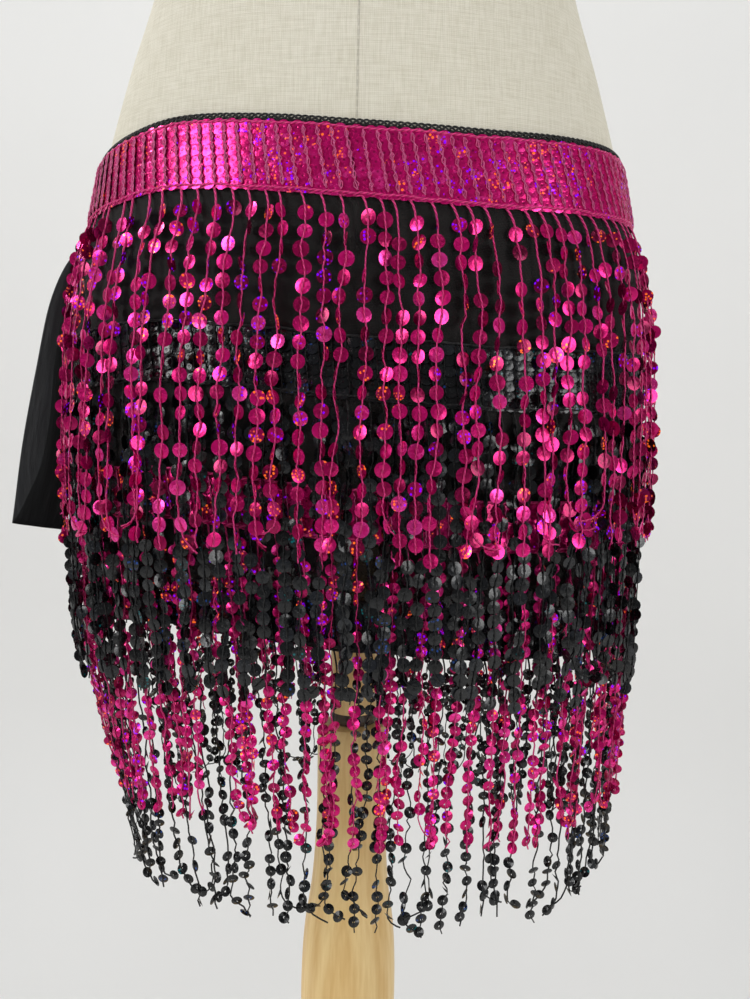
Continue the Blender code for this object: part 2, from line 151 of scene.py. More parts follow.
# each light: place, what it points at, size and power
lightLook = {
    "windowLight": ((-1.9, -1.2, 1.7), (0.0, 0.0, 0.85), 1.0, 23.0),
    "leftLight": ((-1.77, 0.10, 2.02), (-0.1, -0.08, 0.92), 0.30, 7.0),
    "fillLight": ((1.7, -1.7, 1.0), (0.0, 0.0, 0.8), 1.2, 19.0),
    "topLight": ((0.2, -0.5, 2.9), (0.0, 0.0, 0.9), 1.4, 16.0),
    "wallLight": ((0.9, -0.2, 2.6), (0.2, 1.0, 0.9), 1.2, 3.0),
}
roomLook = {"wallDistance": 0.85, "bend": 0.35, "half": 3.6, "height": 3.4, "ambient": 0.15, "paleness": 0.72}


def addLights():
    for name, (place, target, size, power) in lightLook.items():
        data = bpy.data.lights.new(name, "AREA")
        data.shape = "DISK"
        data.size = size
        data.energy = power
        light = bpy.data.objects.new(name, data)
        bpy.context.scene.collection.objects.link(light)
        light.location = place
        aim = Vector(target) - Vector(place)
        light.rotation_euler = aim.to_track_quat("-Z", "Y").to_euler()
    world = bpy.data.worlds.new("softRoom")
    world.use_nodes = True
    background = world.node_tree.nodes["Background"]
    background.inputs["Color"].default_value = (0.93, 0.95, 1.0, 1.0)
    # the room beyond the wall looks as pale as the wall, but lights the skirt softly
    seen = addNode(world.node_tree, "ShaderNodeLightPath").outputs["Is Camera Ray"]
    strength = spread(world.node_tree, seen, 0.0, 1.0, roomLook["ambient"], roomLook["paleness"])
    world.node_tree.links.new(strength, background.inputs["Strength"])
    bpy.context.scene.world = world
    # the plain view keeps strong pinks as strong as the foil has them
    bpy.context.scene.view_settings.view_transform = "Standard"


def addRoom(material):
    # a pale floor that turns up softly into a wall
    bend = roomLook["bend"]
    profile = [(-3.0, 0.0), (roomLook["wallDistance"] - bend, 0.0)]
    for step in range(1, 13):
        turn = math.pi / 2 * step / 12
        y = roomLook["wallDistance"] - bend + bend * math.sin(turn)
        profile.append((y, bend - bend * math.cos(turn)))
    profile.append((roomLook["wallDistance"], roomLook["height"]))
    half = roomLook["half"]
    points = [(x, y, z) for y, z in profile for x in (-half, half)]
    quads = [(2 * i, 2 * i + 1, 2 * i + 3, 2 * i + 2) for i in range(len(profile) - 1)]
    surface("room", points, quads, material=material)


# ---- shared shader groups


def buildWeave():
    # plain weave: threads over and under, with thicker and thinner ones here and there
    tree, source, result = newTree(
        "weave",
        "ShaderNodeTree",
        [
            ("Vector", "NodeSocketVector", None),
            ("Pitch", "NodeSocketFloat", 0.0009),
            ("Slub", "NodeSocketFloat", 0.5),
        ],
        [("Height", "NodeSocketFloat"), ("Shade", "NodeSocketFloat")],
    )
    parts = addNode(tree, "ShaderNodeSeparateXYZ", {0: source["Vector"]}).outputs
    across = calc(tree, "DIVIDE", parts[0], source["Pitch"])
    down = calc(tree, "DIVIDE", parts[1], source["Pitch"])
    warp = calc(tree, "ABSOLUTE", calc(tree, "SINE", calc(tree, "MULTIPLY", across, math.pi)))
    weft = calc(tree, "ABSOLUTE", calc(tree, "SINE", calc(tree, "MULTIPLY", down, math.pi)))
    crossing = calc(tree, "ADD", calc(tree, "FLOOR", across), calc(tree, "FLOOR", down))
    over = calc(tree, "PINGPONG", crossing, 1.0)
    under = calc(tree, "SUBTRACT", 1.0, over)
    upper = calc(tree, "ADD", calc(tree, "MULTIPLY", warp, over), calc(tree, "MULTIPLY", weft, under))
    lower = calc(tree, "MULTIPLY", calc(tree, "MULTIPLY", warp, weft), 0.35)
    height = calc(tree, "ADD", calc(tree, "MULTIPLY", upper, 0.65), lower)
    # slubs lie along the threads, so the noise is stretched both ways
    slubs = []
    for stretch in ((900.0, 70.0, 1.0), (70.0, 900.0, 1.0)):
        place = addNode(tree, "ShaderNodeVectorMath", {0: source["Vector"], 1: stretch}, operation="MULTIPLY")
        noise = addNode(tree, "ShaderNodeTexNoise", {"Vector": place.outputs[0], "Scale": 1.0, "Detail": 3.0})
        slubs.append(spread(tree, noise.outputs[0], 0.32, 0.68))
    slub = calc(tree, "MULTIPLY", calc(tree, "ADD", slubs[0], slubs[1]), 0.5)
    mixed = calc(tree, "MULTIPLY", calc(tree, "SUBTRACT", slub, 0.5), source["Slub"])
    tree.links.new(calc(tree, "ADD", height, mixed), result["Height"])
    # Shade is painted shade: paler on the crowns of the threads and darker in the hollows between them, mixed with the
    # slubs' own tone
    shade = calc(tree, "ADD", calc(tree, "MULTIPLY", height, 0.45), calc(tree, "MULTIPLY", mixed, 1.1))
    tree.links.new(calc(tree, "ADD", shade, 0.5, clamp=True), result["Shade"])
    return tree


def buildFlecks():
    # tiny cells of a holographic foil: some flash violet, some orange, in drifts over the cloth; these flashes are
    # painted glints, fixed on the foil
    tree, source, result = newTree(
        "foilFlecks",
        "ShaderNodeTree",
        [
            ("Spot", "NodeSocketVector", None),
            ("Place", "NodeSocketVector", None),
            ("Tone", "NodeSocketFloat", 0.5),
            ("Cell", "NodeSocketFloat", 0.0016),
            ("Drift", "NodeSocketFloat", 0.045),
            ("Violet Chance", "NodeSocketFloat", 0.2),
            ("Orange Chance", "NodeSocketFloat", 0.15),
        ],
        [("Violet", "NodeSocketFloat"), ("Orange", "NodeSocketFloat"), ("Grain", "NodeSocketFloat")],
    )
    shifted = addNode(
        tree, "ShaderNodeCombineXYZ", {2: calc(tree, "MULTIPLY", source["Tone"], 7.3)}
    ).outputs[0]
    near = addNode(tree, "ShaderNodeVectorMath", {0: source["Spot"], 1: shifted}, operation="ADD").outputs[0]
    cells = addNode(
        tree, "ShaderNodeTexVoronoi", {"Vector": near, "Scale": calc(tree, "DIVIDE", 1.0, source["Cell"])}
    )
    dice = addNode(tree, "ShaderNodeSeparateXYZ", {0: cells.outputs["Color"]}).outputs
    core = spread(tree, cells.outputs["Distance"], 0.30, 0.55, 1.0, 0.0)
    drift = calc(tree, "DIVIDE", 1.0, source["Drift"])
    wide = addNode(tree, "ShaderNodeTexNoise", {"Vector": source["Place"], "Scale": drift, "Detail": 1.0})
    wideColour = addNode(tree, "ShaderNodeSeparateXYZ", {0: wide.outputs["Color"]}).outputs
    # a sequin flashes or it doesn't, more often where its colour drifts by
    seeds = {"Violet": (71.3, 0, 0.30), "Orange": (193.7, 1, 0.34)}
    for label, (scatter, axis, open) in seeds.items():
        luck = calc(tree, "FRACT", calc(tree, "MULTIPLY", source["Tone"], scatter))
        near = spread(tree, wideColour[axis], 0.48, 0.60, 0.15, 2.6)
        lit = calc(tree, "LESS_THAN", luck, calc(tree, "MULTIPLY", near, source[label + " Chance"]))
        hit = calc(tree, "GREATER_THAN", dice[axis], 1.0 - open)
        flash = calc(tree, "MULTIPLY", calc(tree, "MULTIPLY", hit, core), lit)
        tree.links.new(flash, result[label])
    tree.links.new(dice[2], result["Grain"])
    return tree


def buildTwist():
    # two plies laid round each other; Turn is the thread's own section, Run its length
    tree, source, result = newTree(
        "twist",
        "ShaderNodeTree",
        [
            ("Turn", "NodeSocketVector", None),
            ("Run", "NodeSocketFloat", 0.0),
            ("Lay", "NodeSocketFloat", 0.0034),
        ],
        [("Height", "NodeSocketFloat"), ("Shade", "NodeSocketFloat")],
    )
    parts = addNode(tree, "ShaderNodeSeparateXYZ", {0: source["Turn"]}).outputs
    angle = calc(tree, "ARCTAN2", parts[1], parts[0])
    phase = calc(tree, "MULTIPLY", calc(tree, "DIVIDE", source["Run"], source["Lay"]), 2 * math.pi)
    wave = calc(tree, "SINE", calc(tree, "ADD", calc(tree, "MULTIPLY", angle, 2.0), phase))
    height = calc(tree, "ADD", calc(tree, "MULTIPLY", wave, 0.5), 0.5)
    tree.links.new(height, result["Height"])
    # Shade is painted shade: each ply paler on its crest and darker in the groove between the plies
    tree.links.new(calc(tree, "POWER", height, 0.7), result["Shade"])
    return tree


def buildGrain():
    # softwood: long fine lines, slow colour bands and a knot here and there
    tree, source, result = newTree(
        "woodGrain",
        "ShaderNodeTree",
        [("Vector", "NodeSocketVector", None)],
        [("Lines", "NodeSocketFloat"), ("Bands", "NodeSocketFloat"), ("Knots", "NodeSocketFloat")],
    )
    stretched = addNode(
        tree, "ShaderNodeVectorMath", {0: source["Vector"], 1: (1.0, 1.0, 0.07)}, operation="MULTIPLY"
    ).outputs[0]
    fine = addNode(tree, "ShaderNodeTexNoise", {"Vector": stretched, "Scale": 420.0, "Detail": 4.0})
    rings = addNode(
        tree,
        "ShaderNodeTexWave",
        {"Vector": stretched, "Scale": 46.0, "Distortion": 5.0, "Detail": 2.0, "Detail Scale": 0.8},
        wave_type="RINGS",
        rings_direction="Y",
    )
    knots = addNode(tree, "ShaderNodeTexVoronoi", {"Vector": source["Vector"], "Scale": 11.0})
    tree.links.new(spread(tree, fine.outputs[0], 0.35, 0.65), result["Lines"])
    tree.links.new(rings.outputs["Fac"], result["Bands"])
    tree.links.new(spread(tree, knots.outputs["Distance"], 0.03, 0.09, 1.0, 0.0), result["Knots"])
    return tree


groups = {
    "weave": buildWeave(),
    "flecks": buildFlecks(),
    "twist": buildTwist(),
    "grain": buildGrain(),
}


def useGroup(tree, name, links):
    node = tree.nodes.new("ShaderNodeGroup")
    node.node_tree = groups[name]
    for socket, source in links.items():
        if isinstance(source, bpy.types.NodeSocket):
            tree.links.new(source, node.inputs[socket])
        else:
            node.inputs[socket].default_value = source
    return node.outputs


# ---- materials


def newMaterial(name, **sockets):
    material = bpy.data.materials.new(name)
    material.use_nodes = True
    tree = material.node_tree
    shader = tree.nodes["Principled BSDF"]
    for label, value in sockets.items():
        shader.inputs[label.replace("_", " ")].default_value = value
    return material, tree, shader


def feed(tree, shader, socket, source):
    tree.links.new(source, shader.inputs[socket])


def bump(tree, shader, height, distance, strength=1.0):
    node = addNode(tree, "ShaderNodeBump", {"Height": height, "Distance": distance, "Strength": strength})
    tree.links.new(node.outputs[0], shader.inputs["Normal"])


def readAttribute(tree, name):
    return addNode(tree, "ShaderNodeAttribute", attribute_name=name).outputs


def readObject(tree):
    return addNode(tree, "ShaderNodeTexCoord").outputs["Object"]


def readCloth(tree):
    return addNode(tree, "ShaderNodeUVMap", uv_map="cloth").outputs[0]


linenLook = {
    "pale": (0.94, 0.895, 0.765, 1.0),
    "deep": (0.70, 0.65, 0.50, 1.0),
    "pitch": 0.00095,
    "slub": 0.55,
    "seamHalf": 0.0007,
    "stitchPitch": 0.0026,
}


def makeLinen():
    look = linenLook
    material, tree, shader = newMaterial("linen", Roughness=0.88)
    shader.inputs["Specular IOR Level"].default_value = 0.2
    weave = useGroup(tree, "weave", {"Vector": readCloth(tree), "Pitch": look["pitch"], "Slub": look["slub"]})
    place = readObject(tree)
    mottle = addNode(tree, "ShaderNodeTexNoise", {"Vector": place, "Scale": 9.0, "Detail": 3.0}).outputs[0]
    # the weave's Shade brings painted shade between the threads into the linen's colour; the mottle is the linen's own
    # tone
    share = calc(tree, "MULTIPLY_ADD", spread(tree, mottle, 0.3, 0.7), 0.22, weave["Shade"])
    colour = blendColours(tree, spread(tree, share, 0.35, 1.15), look["deep"], look["pale"])
    # seams run up the middle of the front, the middle of the back and both sides
    parts = addNode(tree, "ShaderNodeSeparateXYZ", {0: place}).outputs
    middle = calc(tree, "ABSOLUTE", calc(tree, "ADD", parts[0], 0.0022))
    side = calc(tree, "ABSOLUTE", parts[1])
    near = calc(tree, "MINIMUM", middle, side)
    seam = spread(tree, near, look["seamHalf"] * 0.35, look["seamHalf"], 1.0, 0.0)
    ease = spread(tree, near, look["seamHalf"], look["seamHalf"] * 5.0, 1.0, 0.0)
    beat = calc(tree, "PINGPONG", calc(tree, "DIVIDE", parts[2], look["stitchPitch"]), 1.0)
    stitched = calc(tree, "MULTIPLY", seam, spread(tree, beat, 0.2, 0.45, 0.45, 1.0))
    shaded = blendColours(tree, calc(tree, "MULTIPLY", stitched, 0.30), colour, (0.27, 0.24, 0.19, 1.0))
    feed(tree, shader, "Base Color", shaded)
    crease = addNode(tree, "ShaderNodeTexNoise", {"Vector": place, "Scale": 16.0, "Detail": 2.0}).outputs[0]
    height = calc(tree, "MULTIPLY_ADD", crease, 5.0, weave["Height"])
    height = calc(tree, "ADD", height, calc(tree, "MULTIPLY", ease, 1.2))
    height = calc(tree, "SUBTRACT", height, calc(tree, "MULTIPLY", seam, 3.0))
    bump(tree, shader, height, 0.00016)
    return material


woodLook = {"pale": (0.93, 0.68, 0.31, 1.0), "deep": (0.74, 0.46, 0.16, 1.0), "knot": (0.20, 0.07, 0.015, 1.0)}


def makeWood():
    look = woodLook
    material, tree, shader = newMaterial("turnedWood", Roughness=0.46, Coat_Weight=0.12, Coat_Roughness=0.3)
    grain = useGroup(tree, "grain", {"Vector": readObject(tree)})
    share = calc(tree, "MULTIPLY_ADD", grain["Bands"], 0.5, calc(tree, "MULTIPLY", grain["Lines"], 0.4))
    colour = blendColours(tree, share, look["pale"], look["deep"])
    feed(tree, shader, "Base Color", blendColours(tree, grain["Knots"], colour, look["knot"]))
    feed(tree, shader, "Roughness", spread(tree, grain["Lines"], 0.0, 1.0, 0.40, 0.54))
    bump(tree, shader, grain["Lines"], 0.00008)
    return material


def makeDarkRing():
    material, tree, shader = newMaterial("darkRing", Roughness=0.42)
    grain = useGroup(tree, "grain", {"Vector": readObject(tree)})
    feed(tree, shader, "Base Color", blendColours(tree, grain["Lines"], (0.05, 0.035, 0.025, 1), (0.09, 0.06, 0.04, 1)))
    feed(tree, shader, "Roughness", spread(tree, grain["Lines"], 0.0, 1.0, 0.36, 0.50))
    bump(tree, shader, grain["Lines"], 0.00005)
    return material


def makeSheer():
    # fine stretch mesh: nearly black, and a little see-through where one layer lies over the form
    material, tree, shader = newMaterial("sheerCloth", Roughness=0.62)
    shader.inputs["Specular IOR Level"].default_value = 0.25
    weave = useGroup(tree, "weave", {"Vector": readCloth(tree), "Pitch": 0.0008, "Slub": 0.15})
    cloudy = addNode(tree, "ShaderNodeTexNoise", {"Vector": readObject(tree), "Scale": 22.0, "Detail": 2.0})
    soft = spread(tree, cloudy.outputs[0], 0.35, 0.7)
    # the weave's Shade puts painted shade between the threads into the colour; the clouds are the cloth's own tone
    share = calc(tree, "MULTIPLY", calc(tree, "ADD", weave["Shade"], soft), 0.5)
    feed(tree, shader, "Base Color", blendColours(tree, share, (0.004, 0.0036, 0.0036, 1), (0.016, 0.0135, 0.0125, 1)))
    feed(tree, shader, "Alpha", spread(tree, calc(tree, "ADD", weave["Height"], soft), 0.2, 1.5, 0.98, 0.80))
    feed(tree, shader, "Roughness", spread(tree, weave["Shade"], 0.2, 0.9, 0.50, 0.70))
    bump(tree, shader, weave["Height"], 0.00010)
    return material


def makeSatin(name, dark, pale, rough, specular):
    # the ties: black cloth, shiny on its face and dull on its back, with a painted sheen: paler colour on the crests of
    # its creases
    material, tree, shader = newMaterial(name)
    shader.inputs["Specular IOR Level"].default_value = specular
    cloth = readCloth(tree)
    weave = useGroup(tree, "weave", {"Vector": cloth, "Pitch": 0.0007, "Slub": 0.3})
    turned = addNode(tree, "ShaderNodeMapping", {0: cloth, 2: (0.0, 0.0, 0.35), 3: (1.0, 0.16, 1.0)}).outputs[0]
    creases = addNode(tree, "ShaderNodeTexNoise", {"Vector": turned, "Scale": 170.0, "Detail": 4.0}).outputs[0]
    # sheen marks the crests of the creases: there the colour is a painted sheen, paler, and the cloth is also a little
    # glossier; the weave's Shade adds painted shade between threads
    sheen = spread(tree, creases, 0.50, 0.72)
    share = calc(tree, "MULTIPLY_ADD", sheen, 0.7, calc(tree, "MULTIPLY", weave["Shade"], 0.3))
    feed(tree, shader, "Base Color", blendColours(tree, share, dark, pale))
    feed(tree, shader, "Roughness", spread(tree, sheen, 0.0, 1.0, rough + 0.12, rough))
    height = calc(tree, "MULTIPLY_ADD", creases, 4.0, calc(tree, "MULTIPLY", weave["Height"], 0.4))
    bump(tree, shader, height, 0.00022)
    return material


# base colours, picked for each sequin by its random tone: from a painted shade, through the foil's own colour, to a
# painted highlight; and how shiny each foil is
pinkFoil = {
    "foilShadeToHighlight": ((0.10, 0.0, 0.022, 1), (0.40, 0.0, 0.085, 1), (0.80, 0.004, 0.20, 1), (1.0, 0.06, 0.40, 1)),
    "stops": (0.0, 0.30, 0.80, 1.0),
    "violet": (0.20, 0.0, 1.0, 1),
    "orange": (1.0, 0.16, 0.01, 1),
    "violetChance": 0.20,
    "orangeChance": 0.16,
    "metal": 0.60,
    "rough": (0.17, 0.30),
    "coat": 0.06,
    "glow": 0.8,
}
blackFoil = {
    "foilShadeToHighlight": (
        (0.0012, 0.0012, 0.0014, 1), (0.0028, 0.0030, 0.0036, 1),
        (0.0055, 0.0062, 0.0078, 1), (0.013, 0.015, 0.019, 1),
    ),
    "stops": (0.0, 0.40, 0.78, 1.0),
    "violet": (0.01, 0.05, 0.22, 1),
    "orange": (0.0, 0.10, 0.11, 1),
    "violetChance": 0.04,
    "orangeChance": 0.03,
    "metal": 0.0,
    "rough": (0.16, 0.30),
    "coat": 0.05,
    "glow": 0.25,
}


def makeFoil(name, look):
    material, tree, shader = newMaterial(name, Metallic=look["metal"], Coat_Weight=look["coat"], Coat_Roughness=0.10)
    tone = readAttribute(tree, "tone")["Fac"]
    spot = readAttribute(tree, "spot")["Vector"]
    links = {"Spot": spot, "Place": readObject(tree), "Tone": tone}
    links.update({"Violet Chance": look["violetChance"], "Orange Chance": look["orangeChance"]})
    flecks = useGroup(tree, "flecks", links)
    # the ramp gives each sequin its colour by tone, from painted shade to painted highlight
    ramp = addNode(tree, "ShaderNodeValToRGB")
    while len(ramp.color_ramp.elements) < len(look["stops"]):
        ramp.color_ramp.elements.new(0.5)
    for element, stop, colour in zip(ramp.color_ramp.elements, look["stops"], look["foilShadeToHighlight"]):
        element.position = stop
        element.color = colour
    # the middle of a sequin is pressed, and its rim is painted a little paler: a painted highlight
    parts = addNode(tree, "ShaderNodeSeparateXYZ", {0: spot}).outputs
    away = calc(tree, "SQRT", calc(tree, "MULTIPLY_ADD", parts[0], parts[0], calc(tree, "MULTIPLY", parts[1], parts[1])))
    hub = spread(tree, away, 0.0004, 0.0009, 1.0, 0.0)
    rimHighlight = spread(tree, away, 0.0030, 0.0038)
    lively = calc(tree, "MULTIPLY_ADD", calc(tree, "SUBTRACT", flecks["Grain"], 0.5), 0.16, tone)
    tree.links.new(calc(tree, "MULTIPLY_ADD", rimHighlight, 0.05, lively), ramp.inputs[0])
    colour = blendColours(tree, flecks["Violet"], ramp.outputs[0], look["violet"])
    colour = blendColours(tree, flecks["Orange"], colour, look["orange"])
    feed(tree, shader, "Base Color", blendColours(tree, calc(tree, "MULTIPLY", hub, 0.6), colour, look["foilShadeToHighlight"][0]))
    feed(tree, shader, "Roughness", spread(tree, flecks["Grain"], 0.0, 1.0, *look["rough"]))
    # the flecks also glow: a painted glint, since the foil is no lamp
    glint = calc(tree, "MAXIMUM", flecks["Violet"], flecks["Orange"])
    feed(tree, shader, "Emission Color", blendColours(tree, glint, (0, 0, 0, 1), colour))
    shader.inputs["Emission Strength"].default_value = look["glow"]
    bump(tree, shader, calc(tree, "MULTIPLY_ADD", hub, -3.0, flecks["Grain"]), 0.00003)
    return material


def makeThread(name, dark, pale, rough):
    material, tree, shader = newMaterial(name, Roughness=rough)
    twist = useGroup(
        tree, "twist", {"Turn": readAttribute(tree, "turn")["Vector"], "Run": readAttribute(tree, "run")["Fac"]}
    )
    fuzz = addNode(tree, "ShaderNodeTexNoise", {"Vector": readObject(tree), "Scale": 700.0, "Detail": 2.0}).outputs[0]
    # the twist's Shade paints shade into the grooves between the plies; the fuzz is the thread's own tone
    share = calc(tree, "MULTIPLY", twist["Shade"], spread(tree, fuzz, 0.25, 0.6, 0.6, 1.0))
    feed(tree, shader, "Base Color", blendColours(tree, share, dark, pale))
    feed(tree, shader, "Roughness", spread(tree, fuzz, 0.3, 0.7, rough - 0.1, rough + 0.12))
    bump(tree, shader, twist["Height"], 0.0003)
    return material


def makeStrip(name, dark, pale):
    # the tape behind a band's sequins
    material, tree, shader = newMaterial(name, Roughness=0.8)
    weave = useGroup(tree, "weave", {"Vector": readCloth(tree), "Pitch": 0.0009, "Slub": 0.3})
    # the weave's Shade is painted shade between the threads
    feed(tree, shader, "Base Color", blendColours(tree, weave["Shade"], dark, pale))
    feed(tree, shader, "Roughness", spread(tree, weave["Shade"], 0.0, 1.0, 0.7, 0.9))
    bump(tree, shader, weave["Height"], 0.0002)
    return material


def makeWall():
    material, tree, shader = newMaterial("paleRoom", Roughness=0.9)
    noise = addNode(tree, "ShaderNodeTexNoise", {"Vector": readObject(tree), "Scale": 3.0, "Detail": 2.0}).outputs[0]
    feed(tree, shader, "Base Color", blendColours(tree, noise, (0.76, 0.76, 0.745, 1), (0.80, 0.80, 0.785, 1)))
    shader.inputs["Emission Color"].default_value = (1.0, 1.0, 0.985, 1.0)
    shader.inputs["Emission Strength"].default_value = 0.075
    # the wall shows only from inside the room, so it hides nothing in views from behind
    behind = addNode(tree, "ShaderNodeNewGeometry").outputs["Backfacing"]
    clear = addNode(tree, "ShaderNodeBsdfTransparent").outputs[0]
    both = addNode(tree, "ShaderNodeMixShader", {0: behind, 1: shader.outputs[0], 2: clear}).outputs[0]
    tree.links.new(both, tree.nodes["Material Output"].inputs["Surface"])
    return material


finishes = {
    "linen": makeLinen(),
    "wood": makeWood(),
    "darkRing": makeDarkRing(),
    "sheer": makeSheer(),
    "satin": makeSatin("satin", (0.0030, 0.0033, 0.0040, 1), (0.016, 0.018, 0.021, 1), 0.34, 0.35),
    "satinBack": makeSatin("satinBack", (0.0018, 0.0018, 0.0020, 1), (0.0065, 0.0066, 0.0070, 1), 0.60, 0.10),
    "pinkFoil": makeFoil("pinkFoil", pinkFoil),
    "blackFoil": makeFoil("blackFoil", blackFoil),
    "pinkThread": makeThread("pinkThread", (0.36, 0.0, 0.075, 1), (0.95, 0.045, 0.29, 1), 0.55),
    "pinkStitch": makeThread("pinkStitch", (0.55, 0.02, 0.18, 1), (1.0, 0.22, 0.48, 1), 0.5),
    "blackThread": makeThread("blackThread", (0.0015, 0.0015, 0.0015, 1), (0.009, 0.009, 0.010, 1), 0.6),
    "blackStitch": makeThread("blackStitch", (0.002, 0.002, 0.002, 1), (0.012, 0.012, 0.013, 1), 0.5),
    "pinkStrip": makeStrip("pinkStrip", (0.05, 0.0, 0.010, 1), (0.25, 0.0, 0.045, 1)),
    "blackStrip": makeStrip("blackStrip", (0.001, 0.001, 0.001, 1), (0.005, 0.005, 0.0055, 1)),
    "wall": makeWall(),
}
print("materials made")

# ---- the shapes that the garment and the form follow, as in the solids

seamGap = 0.0003
panelWall = 0.0010
bandWall = 0.0014
edgingHeight = 0.0032
sectionPower = 2.3
waistHeight = 0.938
hemDrop = 0.269
tieAngle = 165.0
slitHalfAtWaist = 0.015
slitHalfAtHem = 0.021
wrapTilt = 0.0080
tiltFullDrop = 0.17
evenAtHeight = 0.82

# height, left, right, front, back of the base cloth's outside
clothSections = np.array([
    (0.500, 0.1240, 0.1475, 0.1010, 0.1040),
    (0.560, 0.1365, 0.1535, 0.1045, 0.1080),
    (0.610, 0.1460, 0.1585, 0.1070, 0.1115),
    (0.660, 0.1560, 0.1630, 0.1100, 0.1150),
    (0.720, 0.1655, 0.1665, 0.1130, 0.1195),
    (0.800, 0.1705, 0.1695, 0.1148, 0.1245),
    (0.850, 0.1700, 0.1690, 0.1150, 0.1255),
    (0.875, 0.1664, 0.1658, 0.1139, 0.1243),
    (0.897, 0.1612, 0.1608, 0.1115, 0.1207),
    (0.936, 0.1530, 0.1527, 0.1065, 0.1117),
    (0.960, 0.1471, 0.1469, 0.1035, 0.1072),
])
# angle and rise of the waistband's top edge
waistLine = np.array([
    (-195.0, -0.0090), (-180.0, -0.0090), (-160.0, -0.0066), (-144.0, -0.0023), (-128.0, 0.0024),
    (-107.0, 0.0016), (-84.0, -0.0023), (-66.0, -0.0036), (-50.0, -0.0023), (-30.0, -0.0010),
    (0.0, -0.0005), (45.0, 0.0020), (90.0, 0.0040), (130.0, -0.0010), (165.0, -0.0090),
])
# angle, reach and height of each upright fold
folds = (
    (-152.0, 7.0, 0.0022), (-131.0, 6.0, 0.0016), (-112.0, 5.5, 0.0024), (-93.0, 6.5, 0.0012),
    (-71.0, 5.5, 0.0020), (-48.0, 6.0, 0.0026), (-22.0, 7.5, 0.0015), (8.0, 7.0, 0.0022),
    (36.0, 6.0, 0.0018), (63.0, 6.5, 0.0026), (88.0, 5.5, 0.0014), (112.0, 6.0, 0.0024),
    (139.0, 6.5, 0.0018),
)
foldsStart = 0.870
foldsFull = 0.760
# height, side, front, back of the form
formSections = np.array([
    (0.740, 0.1500, 0.1030, 0.1080), (0.770, 0.1570, 0.1080, 0.1150), (0.800, 0.1625, 0.1110, 0.1200),
    (0.850, 0.1668, 0.1130, 0.1235), (0.875, 0.1632, 0.1120, 0.1225), (0.897, 0.1590, 0.1098, 0.1190),
    (0.936, 0.1510, 0.1048, 0.1100), (0.981, 0.1388, 0.0990, 0.1000), (1.036, 0.1220, 0.0920, 0.0880),
    (1.090, 0.1150, 0.0880, 0.0800), (1.140, 0.1210, 0.0940, 0.0830), (1.195, 0.1360, 0.1100, 0.0920),
    (1.245, 0.1455, 0.1290, 0.0990), (1.290, 0.1510, 0.1200, 0.1020), (1.340, 0.1610, 0.1000, 0.1010),
    (1.385, 0.1660, 0.0840, 0.0950), (1.412, 0.1460, 0.0720, 0.0850), (1.432, 0.1060, 0.0620, 0.0720),
    (1.450, 0.0690, 0.0560, 0.0620), (1.475, 0.0560, 0.0540, 0.0560), (1.512, 0.0530, 0.0530, 0.0530),
])


def smoothRead(table, column, at):
    # a cubic through one column of a table
    keys = table[:, 0]
    values = table[:, column]
    slopes = np.gradient(values, keys)
    at = np.clip(np.asarray(at, float), keys[0], keys[-1])
    below = np.clip(np.searchsorted(keys, at, side="right") - 1, 0, len(keys) - 2)
    width = keys[below + 1] - keys[below]
    t = (at - keys[below]) / width
    start = (1 + 2 * t) * (1 - t) ** 2 * values[below] + t * (1 - t) ** 2 * width * slopes[below]
    end = t * t * (3 - 2 * t) * values[below + 1] + t * t * (t - 1) * width * slopes[below + 1]
    return start + end


def rounded(wave):
    return np.sign(wave) * np.abs(wave) ** (2 / sectionPower)


def turnedWithin(angle):
    return waistLine[0, 0] + (np.asarray(angle, float) - waistLine[0, 0]) % 360.0


def foldRise(angle, height):
    near = turnedWithin(angle)
    total = np.zeros(np.broadcast(near, height).shape)
    for place, reach, rise in folds:
        total = total + rise * np.exp(-(((near - place) / reach) ** 2))
    share = np.clip((foldsStart - height) / (foldsStart - foldsFull), 0.0, 1.0)
    return total * share * share * (3 - 2 * share)


def clothOutline(angle, height):
    across = np.cos(np.radians(angle))
    along = np.sin(np.radians(angle))
    left, right, front, back = (smoothRead(clothSections, column, height) for column in (1, 2, 3, 4))
    rise = foldRise(angle, height)
    x = (np.where(across < 0, left, right) + rise) * rounded(across)
    y = (np.where(along < 0, front, back) + rise) * rounded(along)
    return x, y


def clothPoint(angle, height, out=0.0):
    x, y = clothOutline(angle, height)
    xBefore, yBefore = clothOutline(angle - 1.0, height)
    xAfter, yAfter = clothOutline(angle + 1.0, height)
    dx = xAfter - xBefore
    dy = yAfter - yBefore
    size = np.hypot(dx, dy)
    return np.stack([x + out * dy / size, y - out * dx / size, height + 0 * x], axis=-1)


def heightAt(angle, drop):
    rise = smoothRead(waistLine, 1, turnedWithin(angle))
    tilt = wrapTilt * np.clip(drop / tiltFullDrop, 0.0, 1.0)
    return waistHeight + rise - drop - tilt * np.cos(np.radians(angle))


def slitAngle(drop):
    share = np.clip(drop / hemDrop, 0.0, 1.0)
    half = slitHalfAtWaist + share * (slitHalfAtHem - slitHalfAtWaist)
    return np.degrees(half / smoothRead(clothSections, 1, waistHeight - drop))


fineTurns = np.linspace(0.0, 1.0, 1441)
fineX, fineY = clothOutline(tieAngle - 360.0 + 360.0 * fineTurns, evenAtHeight)
fineLength = np.concatenate([[0.0], np.cumsum(np.hypot(np.diff(fineX), np.diff(fineY)))])


def wrapAngle(share, drop):
    turned = np.interp(share, fineLength / fineLength[-1], fineTurns)
    slit = slitAngle(drop)
    return tieAngle - 360.0 + slit + turned * (360.0 - 2 * slit)


def clothRow(shares, drop, out=0.0):
    angles = wrapAngle(shares, drop)
    return clothPoint(angles, heightAt(angles, drop), out)


